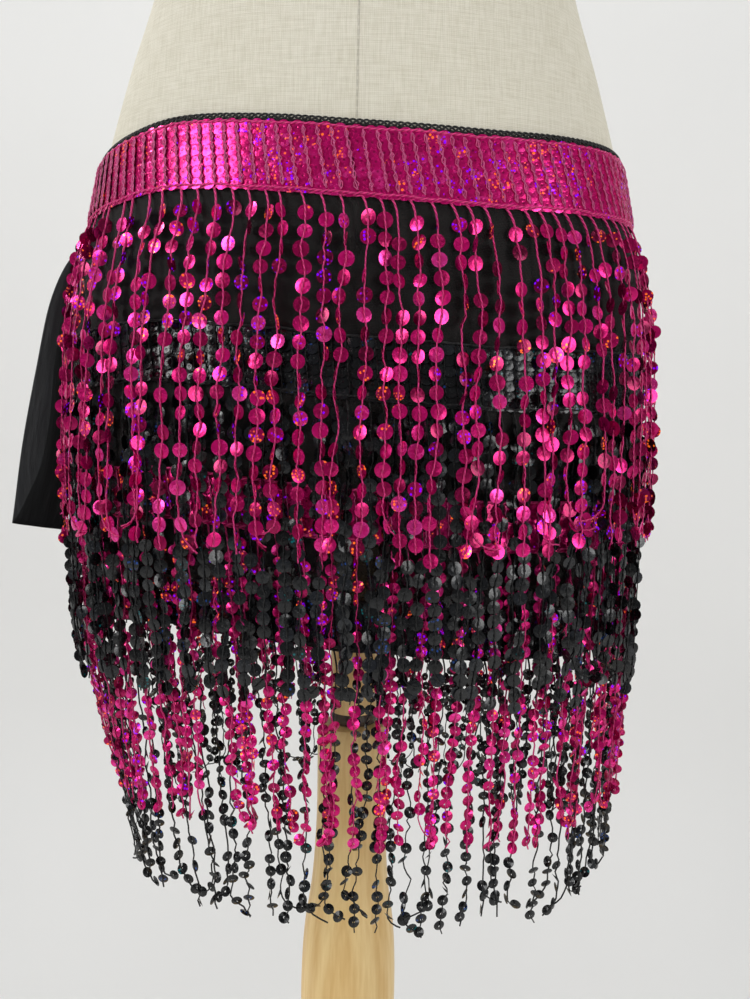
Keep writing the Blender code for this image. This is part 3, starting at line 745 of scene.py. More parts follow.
def clothGrid(name, shares, drops, material, out=0.0, ripple=None):
    # a sheet that follows the wrap, with its length and drop as its own map
    rows = []
    maps = []
    for drop in drops:
        angles = wrapAngle(shares, drop)
        outs = out if ripple is None else out - ripple(angles, drop)
        row = clothPoint(angles, heightAt(angles, drop), outs)
        run = np.concatenate([[0.0], np.cumsum(np.linalg.norm(np.diff(row, axis=0), axis=1))])
        rows.append(row)
        maps.append(np.stack([run, np.full(len(run), -drop)], axis=-1))
    columns = len(shares)
    quads = []
    for row in range(len(drops) - 1):
        for column in range(columns - 1):
            corner = row * columns + column
            quads.append((corner, corner + columns, corner + columns + 1, corner + 1))
    flatMap = np.concatenate(maps)
    uv = flatMap[np.array(quads).ravel()]
    return surface(name, np.concatenate(rows), quads, uv, material)


def thicken(piece, thickness, offset):
    wall = piece.modifiers.new("wall", "SOLIDIFY")
    wall.thickness = thickness
    wall.offset = offset


def loft(name, rings, material, closed=True, caps=True):
    # a tube through rings of points, the lowest ring first, mapped by its own length and girth
    rings = np.array(rings)
    count = rings.shape[1]
    turn = np.concatenate([rings, rings[:, :1]], axis=1) if closed else rings
    around = np.linalg.norm(np.diff(turn, axis=1), axis=2)
    girth = np.concatenate([np.zeros((len(rings), 1)), np.cumsum(around, axis=1)], axis=1)
    girth = girth - girth[:, -1:] / 2
    middles = rings.mean(axis=1)
    rise = np.concatenate([[0.0], np.cumsum(np.linalg.norm(np.diff(middles, axis=0), axis=1))])
    quads = []
    uv = []
    for row in range(len(rings) - 1):
        for column in range(count if closed else count - 1):
            after = (column + 1) % count
            low = row * count
            high = low + count
            quads.append((low + column, low + after, high + after, high + column))
            uv += [
                (girth[row, column], rise[row]),
                (girth[row, column + 1], rise[row]),
                (girth[row + 1, column + 1], rise[row + 1]),
                (girth[row + 1, column], rise[row + 1]),
            ]
    if caps and closed:
        top = (len(rings) - 1) * count
        quads += [tuple(reversed(range(count))), tuple(range(top, top + count))]
        uv += [(p[0], p[1]) for p in rings[0][::-1]]
        uv += [(p[0], p[1]) for p in rings[-1]]
    return surface(name, rings.reshape(-1, 3), quads, uv, material)


# ---- Geometry Nodes: threads, sequins on threads, and sequins laid in columns

socketFloat = "NodeSocketFloat"
socketInt = "NodeSocketInt"
socketMaterial = "NodeSocketMaterial"
socketGeometry = "NodeSocketGeometry"


def randomBetween(tree, low, high, seed):
    return addNode(tree, "FunctionNodeRandomValue", {2: low, 3: high, 8: seed}, data_type="FLOAT").outputs[1]


def named(tree, name, kind):
    return addNode(tree, "GeometryNodeInputNamedAttribute", {"Name": name}, data_type=kind).outputs[0]


def store(tree, geometry, name, value, kind, domain="POINT"):
    links = {"Geometry": geometry, "Name": name, "Value": value}
    return addNode(tree, "GeometryNodeStoreNamedAttribute", links, data_type=kind, domain=domain).outputs[0]


def threadNodes(tree, geometry, radius, sides):
    # a tube along every line, with its own section and length kept for the twist
    curve = addNode(tree, "GeometryNodeMeshToCurve", {0: geometry}).outputs[0]
    run = addNode(tree, "GeometryNodeSplineParameter").outputs["Length"]
    curve = store(tree, curve, "run", run, "FLOAT")
    ring = addNode(tree, "GeometryNodeCurvePrimitiveCircle", {"Resolution": sides, "Radius": 1.0}, mode="RADIUS").outputs[0]
    ring = store(tree, ring, "turn", addNode(tree, "GeometryNodeInputPosition").outputs[0], "FLOAT_VECTOR")
    scale = calc(tree, "MULTIPLY", named(tree, "thick", "FLOAT"), radius)
    links = {"Curve": curve, "Profile Curve": ring, "Scale": scale, "Fill Caps": True}
    tube = addNode(tree, "GeometryNodeCurveToMesh", links).outputs[0]
    return addNode(tree, "GeometryNodeSetShadeSmooth", {"Geometry": tube}).outputs[0]


def sequinNodes(tree, radius, cup, corners, holed=False):
    # one pressed sequin: flat with a raised hub, or a cup with a hole; its own flat place is kept on it
    hub = calc(tree, "MULTIPLY", radius, 0.19 if holed else 0.5)
    links = {"Vertices": corners, "Radius Top": hub, "Radius Bottom": radius, "Depth": cup}
    fill = "NONE" if holed else "TRIANGLE_FAN"
    disc = addNode(tree, "GeometryNodeMeshCone", links, fill_type=fill).outputs[0]
    return store(tree, disc, "spot", addNode(tree, "GeometryNodeInputPosition").outputs[0], "FLOAT_VECTOR")


def placeSequins(tree, points, disc, rotation, source, sunk):
    seed = source["Seed"]
    scale = randomBetween(tree, 0.93, 1.05, seed)
    links = {"Points": points, "Instance": disc, "Rotation": rotation, "Scale": scale}
    sequins = addNode(tree, "GeometryNodeInstanceOnPoints", links).outputs[0]
    back = addNode(tree, "ShaderNodeCombineXYZ", {2: sunk}).outputs[0]
    sequins = addNode(tree, "GeometryNodeTranslateInstances", {0: sequins, "Translation": back}).outputs[0]
    tone = randomBetween(tree, source["Tone Low"], source["Tone High"], calc(tree, "ADD", seed, 5.0))
    sequins = store(tree, sequins, "tone", tone, "FLOAT", "INSTANCE")
    return store(tree, sequins, "foil", 1.0, "FLOAT", "INSTANCE")


def finishStrands(tree, parts, thread, foil, result):
    joined = addNode(tree, "GeometryNodeJoinGeometry")
    for part in parts:
        tree.links.new(part, joined.inputs[0])
    made = addNode(tree, "GeometryNodeRealizeInstances", {0: joined.outputs[0]}).outputs[0]
    made = addNode(tree, "GeometryNodeSetMaterial", {"Geometry": made, "Material": thread}).outputs[0]
    chosen = calc(tree, "GREATER_THAN", named(tree, "foil", "FLOAT"), 0.5)
    links = {"Geometry": made, "Selection": chosen, "Material": foil}
    tree.links.new(addNode(tree, "GeometryNodeSetMaterial", links).outputs[0], result)


def buildThreadTree():
    tree, source, result = newTree(
        "threads",
        "GeometryNodeTree",
        [
            ("Geometry", socketGeometry, None),
            ("Radius", socketFloat, 0.0004),
            ("Sides", socketInt, 4),
            ("Material", socketMaterial, None),
        ],
        [("Geometry", socketGeometry)],
    )
    tube = threadNodes(tree, source["Geometry"], source["Radius"], source["Sides"])
    made = addNode(tree, "GeometryNodeRealizeInstances", {0: tube}).outputs[0]
    last = addNode(tree, "GeometryNodeSetMaterial", {"Geometry": made, "Material": source["Material"]})
    tree.links.new(last.outputs[0], result["Geometry"])
    return tree


def rotateLocal(tree, rotation, axis, angle):
    turn = addNode(tree, "FunctionNodeAxisAngleToRotation", {"Axis": axis, "Angle": angle}).outputs[0]
    return addNode(tree, "FunctionNodeRotateRotation", {0: rotation, 1: turn}, rotation_space="LOCAL").outputs[0]


def backwards(tree, direction):
    return addNode(tree, "ShaderNodeVectorMath", {0: direction, 3: -1.0}, operation="SCALE").outputs[0]


def buildFringeTree(name, holed):
    # hanging strands: the lines marked sewn carry the sequins, and the others are the threads
    tree, source, result = newTree(
        name,
        "GeometryNodeTree",
        [
            ("Geometry", socketGeometry, None),
            ("Sequin Radius", socketFloat, 0.004),
            ("Cup", socketFloat, 0.0002),
            ("Corners", socketInt, 14),
            ("Pitch", socketFloat, 0.0096),
            ("Gap Chance", socketFloat, 0.03),
            ("Spin", socketFloat, 1.7),
            ("Tilt", socketFloat, 0.2),
            ("Thread Radius", socketFloat, 0.00045),
            ("Thread Sides", socketInt, 4),
            ("Tone Low", socketFloat, 0.0),
            ("Tone High", socketFloat, 1.0),
            ("Seed", socketInt, 1),
            ("Foil", socketMaterial, None),
            ("Thread", socketMaterial, None),
        ],
        [("Geometry", socketGeometry)],
    )
    seed = source["Seed"]
    sewn = calc(tree, "GREATER_THAN", named(tree, "sewn", "FLOAT"), 0.5)
    split = addNode(tree, "GeometryNodeSeparateGeometry", {0: source["Geometry"], 1: sewn}, domain="POINT").outputs
    threads = threadNodes(tree, split[1], source["Thread Radius"], source["Thread Sides"])
    curve = addNode(tree, "GeometryNodeMeshToCurve", {0: split[0]}).outputs[0]
    links = {"Curve": curve, "Length": source["Pitch"]}
    along = addNode(tree, "GeometryNodeCurveToPoints", links, mode="LENGTH").outputs
    gone = calc(tree, "LESS_THAN", randomBetween(tree, 0.0, 1.0, seed), source["Gap Chance"])
    kept = addNode(tree, "GeometryNodeDeleteGeometry", {0: along["Points"], 1: gone}, domain="POINT").outputs[0]
    # most sequins face outwards, and a few have spun round edge-on
    raw = randomBetween(tree, -1.0, 1.0, calc(tree, "ADD", seed, 11.0))
    size = calc(tree, "MULTIPLY", calc(tree, "POWER", calc(tree, "ABSOLUTE", raw), 2.2), calc(tree, "SIGN", raw))
    lean = randomBetween(tree, -1.0, 1.0, calc(tree, "ADD", seed, 17.0))
    links = {"Primary Axis": backwards(tree, along["Tangent"]), "Secondary Axis": named(tree, "outward", "FLOAT_VECTOR")}
    rotation = addNode(tree, "FunctionNodeAxesToRotation", links, primary_axis="Y", secondary_axis="Z").outputs[0]
    rotation = rotateLocal(tree, rotation, (0.0, 1.0, 0.0), calc(tree, "MULTIPLY", size, source["Spin"]))
    rotation = rotateLocal(tree, rotation, (1.0, 0.0, 0.0), calc(tree, "MULTIPLY", lean, source["Tilt"]))
    disc = sequinNodes(tree, source["Sequin Radius"], source["Cup"], source["Corners"], holed)
    sunk = calc(tree, "SUBTRACT", calc(tree, "MULTIPLY", source["Thread Radius"], -0.6), source["Cup"])
    sequins = placeSequins(tree, kept, disc, rotation, source, sunk)
    finishStrands(tree, [threads, sequins], source["Thread"], source["Foil"], result["Geometry"])
    return tree


def buildLaidTree():
    # sequins sewn flat in columns, each lapping over the next
    tree, source, result = newTree(
        "laidSequins",
        "GeometryNodeTree",
        [
            ("Geometry", socketGeometry, None),
            ("Sequin Radius", socketFloat, 0.0036),
            ("Cup", socketFloat, 0.0002),
            ("Corners", socketInt, 12),
            ("Pitch", socketFloat, 0.0064),
            ("Lap", socketFloat, -0.17),
            ("Side Lap", socketFloat, -0.07),
            ("Loose", socketFloat, 0.03),
            ("Thread Radius", socketFloat, 0.00034),
            ("Thread Sides", socketInt, 3),
            ("Tone Low", socketFloat, 0.0),
            ("Tone High", socketFloat, 1.0),
            ("Seed", socketInt, 1),
            ("Foil", socketMaterial, None),
            ("Thread", socketMaterial, None),
        ],
        [("Geometry", socketGeometry)],
    )
    seed = source["Seed"]
    sewn = calc(tree, "GREATER_THAN", named(tree, "sewn", "FLOAT"), 0.5)
    split = addNode(tree, "GeometryNodeSeparateGeometry", {0: source["Geometry"], 1: sewn}, domain="POINT").outputs
    threads = threadNodes(tree, split[1], source["Thread Radius"], source["Thread Sides"])
    curve = addNode(tree, "GeometryNodeMeshToCurve", {0: split[0]}).outputs[0]
    links = {"Curve": curve, "Length": source["Pitch"]}
    along = addNode(tree, "GeometryNodeCurveToPoints", links, mode="LENGTH").outputs
    links = {"Primary Axis": named(tree, "outward", "FLOAT_VECTOR"), "Secondary Axis": backwards(tree, along["Tangent"])}
    rotation = addNode(tree, "FunctionNodeAxesToRotation", links, primary_axis="Z", secondary_axis="Y").outputs[0]
    for axis, label, shift in (((1.0, 0.0, 0.0), "Lap", 3.0), ((0.0, 1.0, 0.0), "Side Lap", 4.0)):
        shake = randomBetween(tree, -1.0, 1.0, calc(tree, "ADD", seed, shift))
        angle = calc(tree, "MULTIPLY_ADD", shake, source["Loose"], source[label])
        rotation = rotateLocal(tree, rotation, axis, angle)
    disc = sequinNodes(tree, source["Sequin Radius"], source["Cup"], source["Corners"])
    sequins = placeSequins(tree, along["Points"], disc, rotation, source, 0.0)
    finishStrands(tree, [threads, sequins], source["Thread"], source["Foil"], result["Geometry"])
    return tree


trees = {
    "threads": buildThreadTree(),
    "flat": buildFringeTree("flatSequinStrands", False),
    "cupped": buildFringeTree("cuppedSequinStrands", True),
    "laid": buildLaidTree(),
}
print("trees built")


def lineMesh(name, lines):
    # each line is its points and what the trees read at them
    points = np.concatenate([line["points"] for line in lines])
    edges = []
    first = 0
    for line in lines:
        count = len(line["points"])
        edges += [(first + i, first + i + 1) for i in range(count - 1)]
        first += count
    mesh = bpy.data.meshes.new(name)
    mesh.from_pydata([tuple(p) for p in points], edges, [])
    outward = np.concatenate([line["outward"] for line in lines])
    mesh.attributes.new("outward", "FLOAT_VECTOR", "POINT").data.foreach_set("vector", outward.ravel())
    for label in ("sewn", "thick", "tone"):
        values = [np.broadcast_to(np.asarray(line[label], float), len(line["points"])) for line in lines]
        mesh.attributes.new(label, "FLOAT", "POINT").data.foreach_set("value", np.concatenate(values))
    return newPiece(name, mesh)


def clothLine(angles, heights, outs, sewn=0.0, thick=1.0, tone=0.5):
    points = clothPoint(angles, heights, outs)
    outward = clothPoint(angles, heights, outs + 0.001) - points
    outward = outward / np.linalg.norm(outward, axis=1)[:, None]
    return {"points": points, "outward": outward, "sewn": sewn, "thick": thick, "tone": tone}


def degreeLength(angle, height):
    step = clothPoint(angle + 0.5, height) - clothPoint(angle - 0.5, height)
    return np.linalg.norm(step, axis=-1)


def placeRoot(piece, nodes=()):
    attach(piece, "root")
    if nodes:
        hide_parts(*nodes)
    return piece


# ---- the dress form

torsoLook = {"columns": 144, "spacing": 0.0065, "edgeRound": 0.006, "bottom": 0.740, "top": 1.512}


def formRing(height, inset, columns):
    # the ring starts at the back, so the cloth's map has its seam there
    angles = 90.0 + np.linspace(0.0, 360.0, columns, endpoint=False)
    across = np.cos(np.radians(angles))
    along = np.sin(np.radians(angles))
    side, front, back = (smoothRead(formSections, column, height) - inset for column in (1, 2, 3))
    x = side * rounded(across)
    y = np.where(along < 0, front, back) * rounded(along)
    return np.stack([x, y, np.full(len(x), height)], axis=-1)


def buildTorso(look):
    rings = []
    for step in range(5):
        turn = math.pi / 2 * step / 4
        inset = look["edgeRound"] * (1 - math.sin(turn))
        rings.append(formRing(look["bottom"] + look["edgeRound"] * (1 - math.cos(turn)), inset, look["columns"]))
    low = look["bottom"] + look["edgeRound"]
    count = int((look["top"] - low) / look["spacing"])
    for height in np.linspace(low, look["top"], count)[1:]:
        rings.append(formRing(height, 0.0, look["columns"]))
    piece = loft("linenTorso", rings, finishes["linen"])
    piece.data.set_sharp_from_angle(angle=math.radians(50))
    return placeRoot(piece, ["form_torso"])


# radius and height, from the lowest point up
standLook = {
    "sides": 72,
    "pole": (
        (0.0340, 0.0303), (0.0340, 0.0560), (0.0240, 0.0800), (0.0190, 0.1200), (0.0190, 0.2200),
        (0.0220, 0.3000), (0.0290, 0.3700), (0.0306, 0.4180), (0.0290, 0.4560), (0.0245, 0.4900),
        (0.0226, 0.5200), (0.0223, 0.5860), (0.0200, 0.5920), (0.0122, 0.5935), (0.0122, 0.6010),
        (0.0147, 0.6010), (0.0147, 0.7397),
    ),
    "foot": ((0.1860, 0.0), (0.1900, 0.0080), (0.1880, 0.0180), (0.1780, 0.0260), (0.1500, 0.0300)),
    "neckCap": ((0.0560, 1.5123), (0.0560, 1.5240), (0.0500, 1.5320), (0.0300, 1.5380), (0.0080, 1.5400)),
}


def turnedPiece(name, profile, node, smoothFrom=None, smoothTo=None):
    # the long curves of a turned profile are read smoothly, and its steps stay crisp
    table = np.array([(height, radius) for radius, height in profile])
    steps = []
    for radius, height in profile:
        if smoothFrom is not None and smoothFrom <= height <= smoothTo:
            continue
        steps.append((radius, height))
    if smoothFrom is not None:
        inner = table[(table[:, 0] >= smoothFrom) & (table[:, 0] <= smoothTo)]
        for height in np.linspace(smoothFrom, smoothTo, 70):
            steps.append((float(smoothRead(inner, 1, height)), float(height)))
    steps.sort(key=lambda step: (step[1], -step[0] if step[1] < 0.6 else step[0]))
    turns = np.linspace(0.0, 2 * math.pi, standLook["sides"], endpoint=False)
    rings = [np.stack([r * np.cos(turns), r * np.sin(turns), 0 * turns + h], axis=-1) for r, h in steps]
    piece = loft(name, rings, finishes["wood"])
    piece.data.set_sharp_from_angle(angle=math.radians(38))
    return placeRoot(piece, [node])


def buildStand():
    turnedPiece("turnedPole", standLook["pole"], "form_pole", 0.0560, 0.5860)
    turnedPiece("turnedFoot", standLook["foot"], "form_foot")
    turnedPiece("neckCap", standLook["neckCap"], "form_neck_cap")
    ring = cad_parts["form_pole_ring"]
    for slot in ring.material_slots:
        slot.material = finishes["darkRing"]


# ---- base cloth and bands

panelLook = {"columns": 300, "rows": 46, "wall": 0.0008, "ripple": 0.0007}
# name, colour, drops of the band's top and bottom, and of the fringe's end
tiers = (
    ("1_pink", "pink", 0.0, 0.0348, 0.2185),
    ("2_black", "black", 0.1050, 0.1370, 0.2965),
    ("3_pink", "pink", 0.1840, 0.2105, 0.3715),
    ("4_black", "black", 0.2425, 0.2690, 0.4250),
)


def panelRipple(angles, drop):
    # small soft troughs between the bands, where the cloth is free
    free = 0.0
    for upper, lower in zip(tiers, tiers[1:]):
        above, below = upper[3], lower[2]
        free = max(free, float(np.clip(min(drop - above, below - drop) / 0.014, 0.0, 1.0)))
    waves = np.sin(np.radians(angles) * 17.0 + 26.0 * drop) + 0.6 * np.sin(np.radians(angles) * 41.0 - 40.0 * drop + 1.3)
    return panelLook["ripple"] * free * np.clip(waves / 1.6, 0.0, 1.0)


def buildPanel(look):
    shares = np.linspace(0.0, 1.0, look["columns"] + 1)
    drops = np.linspace(0.0, hemDrop, look["rows"] + 1)
    piece = clothGrid("sheerPanel", shares, drops, finishes["sheer"], 0.0, panelRipple)
    thicken(piece, look["wall"], -1.0)
    return placeRoot(piece, ["skirt_panel"])


bandLook = {
    "wall": 0.0005,
    "columns": 260,
    "1_pink": {"radius": 0.0042, "across": 0.0070, "down": 0.0050, "slant": 0.20, "tones": (0.55, 0.86), "chains": 3, "seed": 3},
    "2_black": {"radius": 0.0036, "across": 0.0064, "down": 0.0052, "slant": 0.10, "tones": (0.0, 1.0), "chains": 1, "seed": 5},
    "3_pink": {"radius": 0.0036, "across": 0.0064, "down": 0.0052, "slant": 0.10, "tones": (0.3, 0.8), "chains": 1, "seed": 7},
    "4_black": {"radius": 0.0036, "across": 0.0064, "down": 0.0052, "slant": 0.10, "tones": (0.0, 1.0), "chains": 1, "seed": 9},
}


def bandColumns(look, top, bottom, out):
    # one line of sequins for each column, and a zigzag thread down each gap between columns
    middle = (top + bottom) / 2
    row = clothRow(np.linspace(0.0, 1.0, 721), middle)
    length = float(np.linalg.norm(np.diff(row, axis=0), axis=1).sum())
    count = int(length / look["across"])
    rng = np.random.default_rng(look["seed"])
    margin = 0.0032
    lines = []
    for column in range(count):
        share = (column + 0.5) / count
        angle = float(wrapAngle(share, middle))
        drops = np.linspace(top + margin, bottom - margin + 0.0008, 12)
        degree = degreeLength(angle, heightAt(angle, middle))
        shift = (drops - middle) * look["slant"] / degree
        inside = np.clip(angle + shift, float(wrapAngle(0.002, middle)), float(wrapAngle(0.998, middle)))
        lines.append(clothLine(inside, heightAt(inside, drops), out + 0.0 * drops, sewn=1.0))
        # a chain of stitches with a loop to each side of every knot, between this column and the next
        steps = int((bottom - top - 0.004) / look["down"]) * 3
        drops = np.linspace(top + 0.002, bottom - 0.002, steps + 1)
        beat = np.arange(steps + 1) % 3
        lean = look["across"] / 2 + (drops - middle) * look["slant"]
        for zig in ((0.0, 0.0002, -0.0001), (0.0, 0.0010, 0.0004), (0.0, -0.0007, -0.0010))[: look["chains"]]:
            wander = rng.normal(0, 0.00016, steps + 1)
            inside = angle + (lean + np.array(zig)[beat] + wander) / degree
            lift = out + 0.0010 + np.where(beat == 1, 0.0003, 0.0) + rng.normal(0, 0.0001, steps + 1)
            inside = np.minimum(inside, float(wrapAngle(0.999, middle)))
            lines.append(clothLine(inside, heightAt(inside, drops), lift, tone=rng.uniform(0.3, 1.0)))
    return lines


def buildBand(tier):
    name, colour, top, bottom, _ = tier
    look = bandLook[name]
    out = seamGap
    shares = np.linspace(0.0, 1.0, bandLook["columns"] + 1)
    tape = clothGrid("bandTape_" + name, shares, np.linspace(top, bottom, 9), finishes[colour + "Strip"], out)
    thicken(tape, bandLook["wall"], 1.0)
    sequins = lineMesh("bandSequins_" + name, bandColumns(look, top, bottom, out + bandLook["wall"] + 0.0008))
    values = {
        "Sequin Radius": look["radius"],
        "Pitch": look["down"],
        "Tone Low": look["tones"][0],
        "Tone High": look["tones"][1],
        "Seed": look["seed"],
        "Foil": finishes[colour + "Foil"],
        "Thread": finishes[colour + "Stitch"],
    }
    grow(sequins, trees["laid"], values)
    cords = []
    rng = np.random.default_rng(look["seed"] + 40)
    for drop, lift in ((top + 0.0007, 0.0013), (bottom - 0.0007, 0.0014), (bottom + 0.0004, 0.0006)):
        spots = np.linspace(0.0, 1.0, 420)
        angles = wrapAngle(spots, drop)
        wander = np.convolve(rng.normal(0, 0.0006, len(spots)), np.ones(5) / 5, "same")
        cords.append(clothLine(angles, heightAt(angles, drop) + wander, out + lift + 0 * angles, thick=1.0))
    edge = lineMesh("bandCords_" + name, cords)
    grow(edge, trees["threads"], {"Radius": 0.0007, "Sides": 5, "Material": finishes[colour + "Thread"]})
    placeRoot(tape, ["band_" + name])
    placeRoot(sequins)
    placeRoot(edge)
    return tape, [sequins, edge]


edgingLook = {"loop": 0.0070, "radius": 0.00066, "lift": 0.0026}


def buildEdging(look):
    # a crochet chain along the waist: a foot cord and two crossing scallops
    spots = np.linspace(0.0, 1.0, 2401)
    angles = wrapAngle(spots, -0.001)
    row = clothPoint(angles, heightAt(angles, -0.001))
    run = np.concatenate([[0.0], np.cumsum(np.linalg.norm(np.diff(row, axis=0), axis=1))])
    lines = [clothLine(angles[::3], heightAt(angles[::3], -0.0008), 0.0004 + 0 * angles[::3], thick=1.25)]
    for half in (0.0, 0.5):
        phase = math.pi * (run / look["loop"] + half)
        rise = 0.0008 + look["lift"] * np.abs(np.sin(phase))
        outs = 0.0004 + 0.0006 * np.cos(2 * phase)
        lines.append(clothLine(angles, heightAt(angles, -seamGap) + rise, outs))
    piece = lineMesh("waistCrochet", lines)
    grow(piece, trees["threads"], {"Radius": look["radius"], "Sides": 4, "Material": finishes["blackThread"]})
    return placeRoot(piece, ["waist_edging"])


# ---- fringe

# strands hang from each band; kink and drift are how far a thread strays, hook how often its end curls
fringeLook = {
    "standOff": 0.0022,
    "lean": 0.053,
    "1_pink": {
        "strands": 92, "pitch": 0.0094, "radius": 0.0041, "cup": 0.0002, "tilt": 0.20, "bareTop": 0.0085,
        "tail": 0.005, "slant": 0.0046, "gap": 0.05, "thread": 0.00052, "drift": 0.0030, "uneven": 0.0045,
        "kink": 0.00055, "hook": 0.30, "tones": (0.05, 0.97), "tree": "flat", "seed": 21,
    },
    "2_black": {
        "strands": 112, "pitch": 0.0072, "radius": 0.0039, "cup": 0.0002, "tilt": 0.15, "bareTop": 0.006,
        "tail": 0.004, "slant": 0.0024, "gap": 0.02, "thread": 0.00042, "drift": 0.0030, "uneven": 0.0045,
        "kink": 0.00045, "hook": 0.15, "tones": (0.0, 1.0), "tree": "flat", "seed": 22,
    },
    "3_pink": {
        "strands": 96, "pitch": 0.0066, "radius": 0.0033, "cup": 0.0008, "tilt": 0.50, "bareTop": 0.006,
        "tail": 0.003, "slant": 0.0024, "gap": 0.10, "thread": 0.00046, "drift": 0.0034, "uneven": 0.0040,
        "kink": 0.00065, "hook": 0.25, "tones": (0.25, 0.95), "tree": "cupped", "seed": 23,
    },
    "4_black": {
        "strands": 104, "pitch": 0.0070, "radius": 0.0031, "cup": 0.0008, "tilt": 0.60, "bareTop": 0.006,
        "tail": 0.004, "slant": 0.0020, "gap": 0.22, "thread": 0.00046, "drift": 0.0042, "uneven": 0.0045,
        "kink": 0.00085, "hook": 0.50, "tones": (0.0, 0.9), "tree": "cupped", "seed": 24,
    },
}
# how much further down the strands end, by angle
endShift = {
    "1_pink": ((-195, 0.0), (-140, 0.002), (-116, 0.0043), (-92, 0.0005), (-80, 0.0015), (-50, -0.0065), (0, 0.0)),
    "2_black": ((-195, 0.0), (-165, 0.004), (-127, 0.0072), (-107, 0.0039), (-83, -0.0065), (-50, -0.0005), (0, 0.0)),
    "3_pink": ((-195, -0.004), (-175, -0.005), (-160, 0.001), (-140, 0.004), (-98, 0.004), (-50, 0.003),
               (-35, -0.004), (-15, -0.008), (0, -0.008), (40, 0.0)),
    "4_black": ((-195, -0.012), (-180, -0.020), (-163, -0.013), (-148, 0.0), (-116, 0.0064), (-98, -0.0028),
                (-82, -0.0005), (-63, -0.0078), (-43, -0.006), (-25, -0.012), (0, -0.013), (40, 0.0)),
}
# how the strands at the left side stand out or fall in, by how far down they are
leftOut = {
    "1_pink": ((0.0, 0.0), (1.0, 0.0)),
    "2_black": ((0.05, 0.0), (0.10, 0.0035), (0.13, 0.006), (0.18, 0.006)),
    "3_pink": ((0.03, 0.0), (0.09, 0.005), (0.13, 0.001), (0.17, -0.008), (0.19, -0.010)),
    "4_black": ((0.08, 0.0), (0.16, -0.008), (0.19, -0.010)),
}


def readPairs(pairs, at):
    table = np.array(pairs, float)
    return np.interp(at, table[:, 0], table[:, 1])


def strandLines(tier, look):
    name, colour, _, rootDrop, endDrop = tier
    rng = np.random.default_rng(look["seed"])
    lines = []
    for strand in range(look["strands"]):
        share = np.clip((strand + 0.5 + rng.normal(0.0, 0.16)) / look["strands"], 0.003, 0.997)
        root = float(wrapAngle(share, rootDrop))
        top = float(heightAt(root, rootDrop)) + 0.0004
        length = endDrop - rootDrop + rng.uniform(-1.0, 1.0) * look["uneven"]
        length += float(readPairs(endShift[name], turnedWithin(root)))
        leftness = float(np.clip((-math.cos(math.radians(root)) - 0.80) / 0.18, 0.0, 1.0))
        drift = rng.normal(0.0, look["drift"])
        wave = rng.uniform(0.0004, 0.0012)
        period = rng.uniform(0.035, 0.080)
        phase = rng.uniform(0.0, 2 * math.pi)
        swing = rng.normal(0.0, 0.0008)
        knots = np.linspace(0.0, length, max(4, int(length / (look["pitch"] * 0.5))))
        kinks = rng.normal(0.0, look["kink"], (2, len(knots)))
        hooked = rng.random() < look["hook"]
        hookLength = rng.uniform(0.012, 0.026)
        hookTurn = rng.uniform(0.8, 2.4) if hooked else 0.01
        hookSide = rng.choice((-1.0, 1.0))

        def path(falls, sewn, thick):
            aside = look["slant"] * (1 - np.exp(-falls / 0.0055)) + drift * (falls / length) ** 1.3
            aside = aside + wave * np.sin(2 * math.pi * falls / period + phase) * np.clip(falls / 0.03, 0, 1)
            loose = np.clip((falls - 0.006) / 0.02, 0, 1)
            aside = aside + np.interp(falls, knots, kinks[0]) * loose
            # the end curls round as it hangs
            late = np.clip((falls - length + hookLength) / hookLength, 0.0, 1.0)
            bend = hookLength / hookTurn
            aside = aside + hookSide * bend * (1 - np.cos(late * hookTurn))
            heights = top - falls + late * hookLength - bend * np.sin(late * hookTurn)
            angles = root + aside / degreeLength(root + 0 * falls, heights)
            outs = 0.0006 + fringeLook["lean"] * np.maximum(falls - 0.0035, 0.0)
            outs = outs + fringeLook["standOff"] * (1 - np.exp(-falls / 0.004)) + swing * np.clip(falls / 0.05, 0, 1)
            outs = outs + 0.5 * np.abs(np.interp(falls, knots, kinks[1])) * loose
            outs = outs + leftness * readPairs(leftOut[name], falls)
            return clothLine(angles, heights, outs, sewn, thick, rng.uniform(0.2, 1.0))

        falls = np.concatenate([[0.0, 0.002, 0.004, 0.0065, 0.009], np.linspace(0.0125, length, int(length / 0.0034))])
        lines.append(path(falls, 0.0, np.interp(falls, [0.0, 0.009, 0.013], [1.3, 1.25, 1.0])))
        start = look["bareTop"] + look["radius"] + rng.uniform(-0.0012, 0.0025)
        end = length - look["tail"] * rng.uniform(0.4, 1.5)
        lines.append(path(np.linspace(start, end, int(length / 0.0034)), 1.0, 1.0))
    return lines


def buildFringe(tier):
    name, colour = tier[:2]
    look = fringeLook[name]
    piece = lineMesh("hangingFringe_" + name, strandLines(tier, look))
    values = {
        "Sequin Radius": look["radius"],
        "Cup": look["cup"],
        "Tilt": look["tilt"],
        "Pitch": look["pitch"],
        "Gap Chance": look["gap"],
        "Thread Radius": look["thread"],
        "Tone Low": look["tones"][0],
        "Tone High": look["tones"][1],
        "Seed": look["seed"],
        "Foil": finishes[colour + "Foil"],
        "Thread": finishes[colour + "Thread"],
    }
    grow(piece, trees[look["tree"]], values)
    return placeRoot(piece, ["fringe_" + name])


# ---- the tie at the left hip

tieLook = {
    "knotHalf": (0.0090, 0.0090, 0.0130),
    "knotOut": 0.0105,
    "knotDrop": 0.020,
    "strapHalfHeight": 0.0145,
    "strapHalfThickness": 0.0007,
    "strapEndGap": 0.0008,
    "strapKnotHalfHeight": 0.0075,
    "strapKnotHalfThickness": 0.0035,
    "strapSides": 60,
    "tailWall": 0.0008,
}
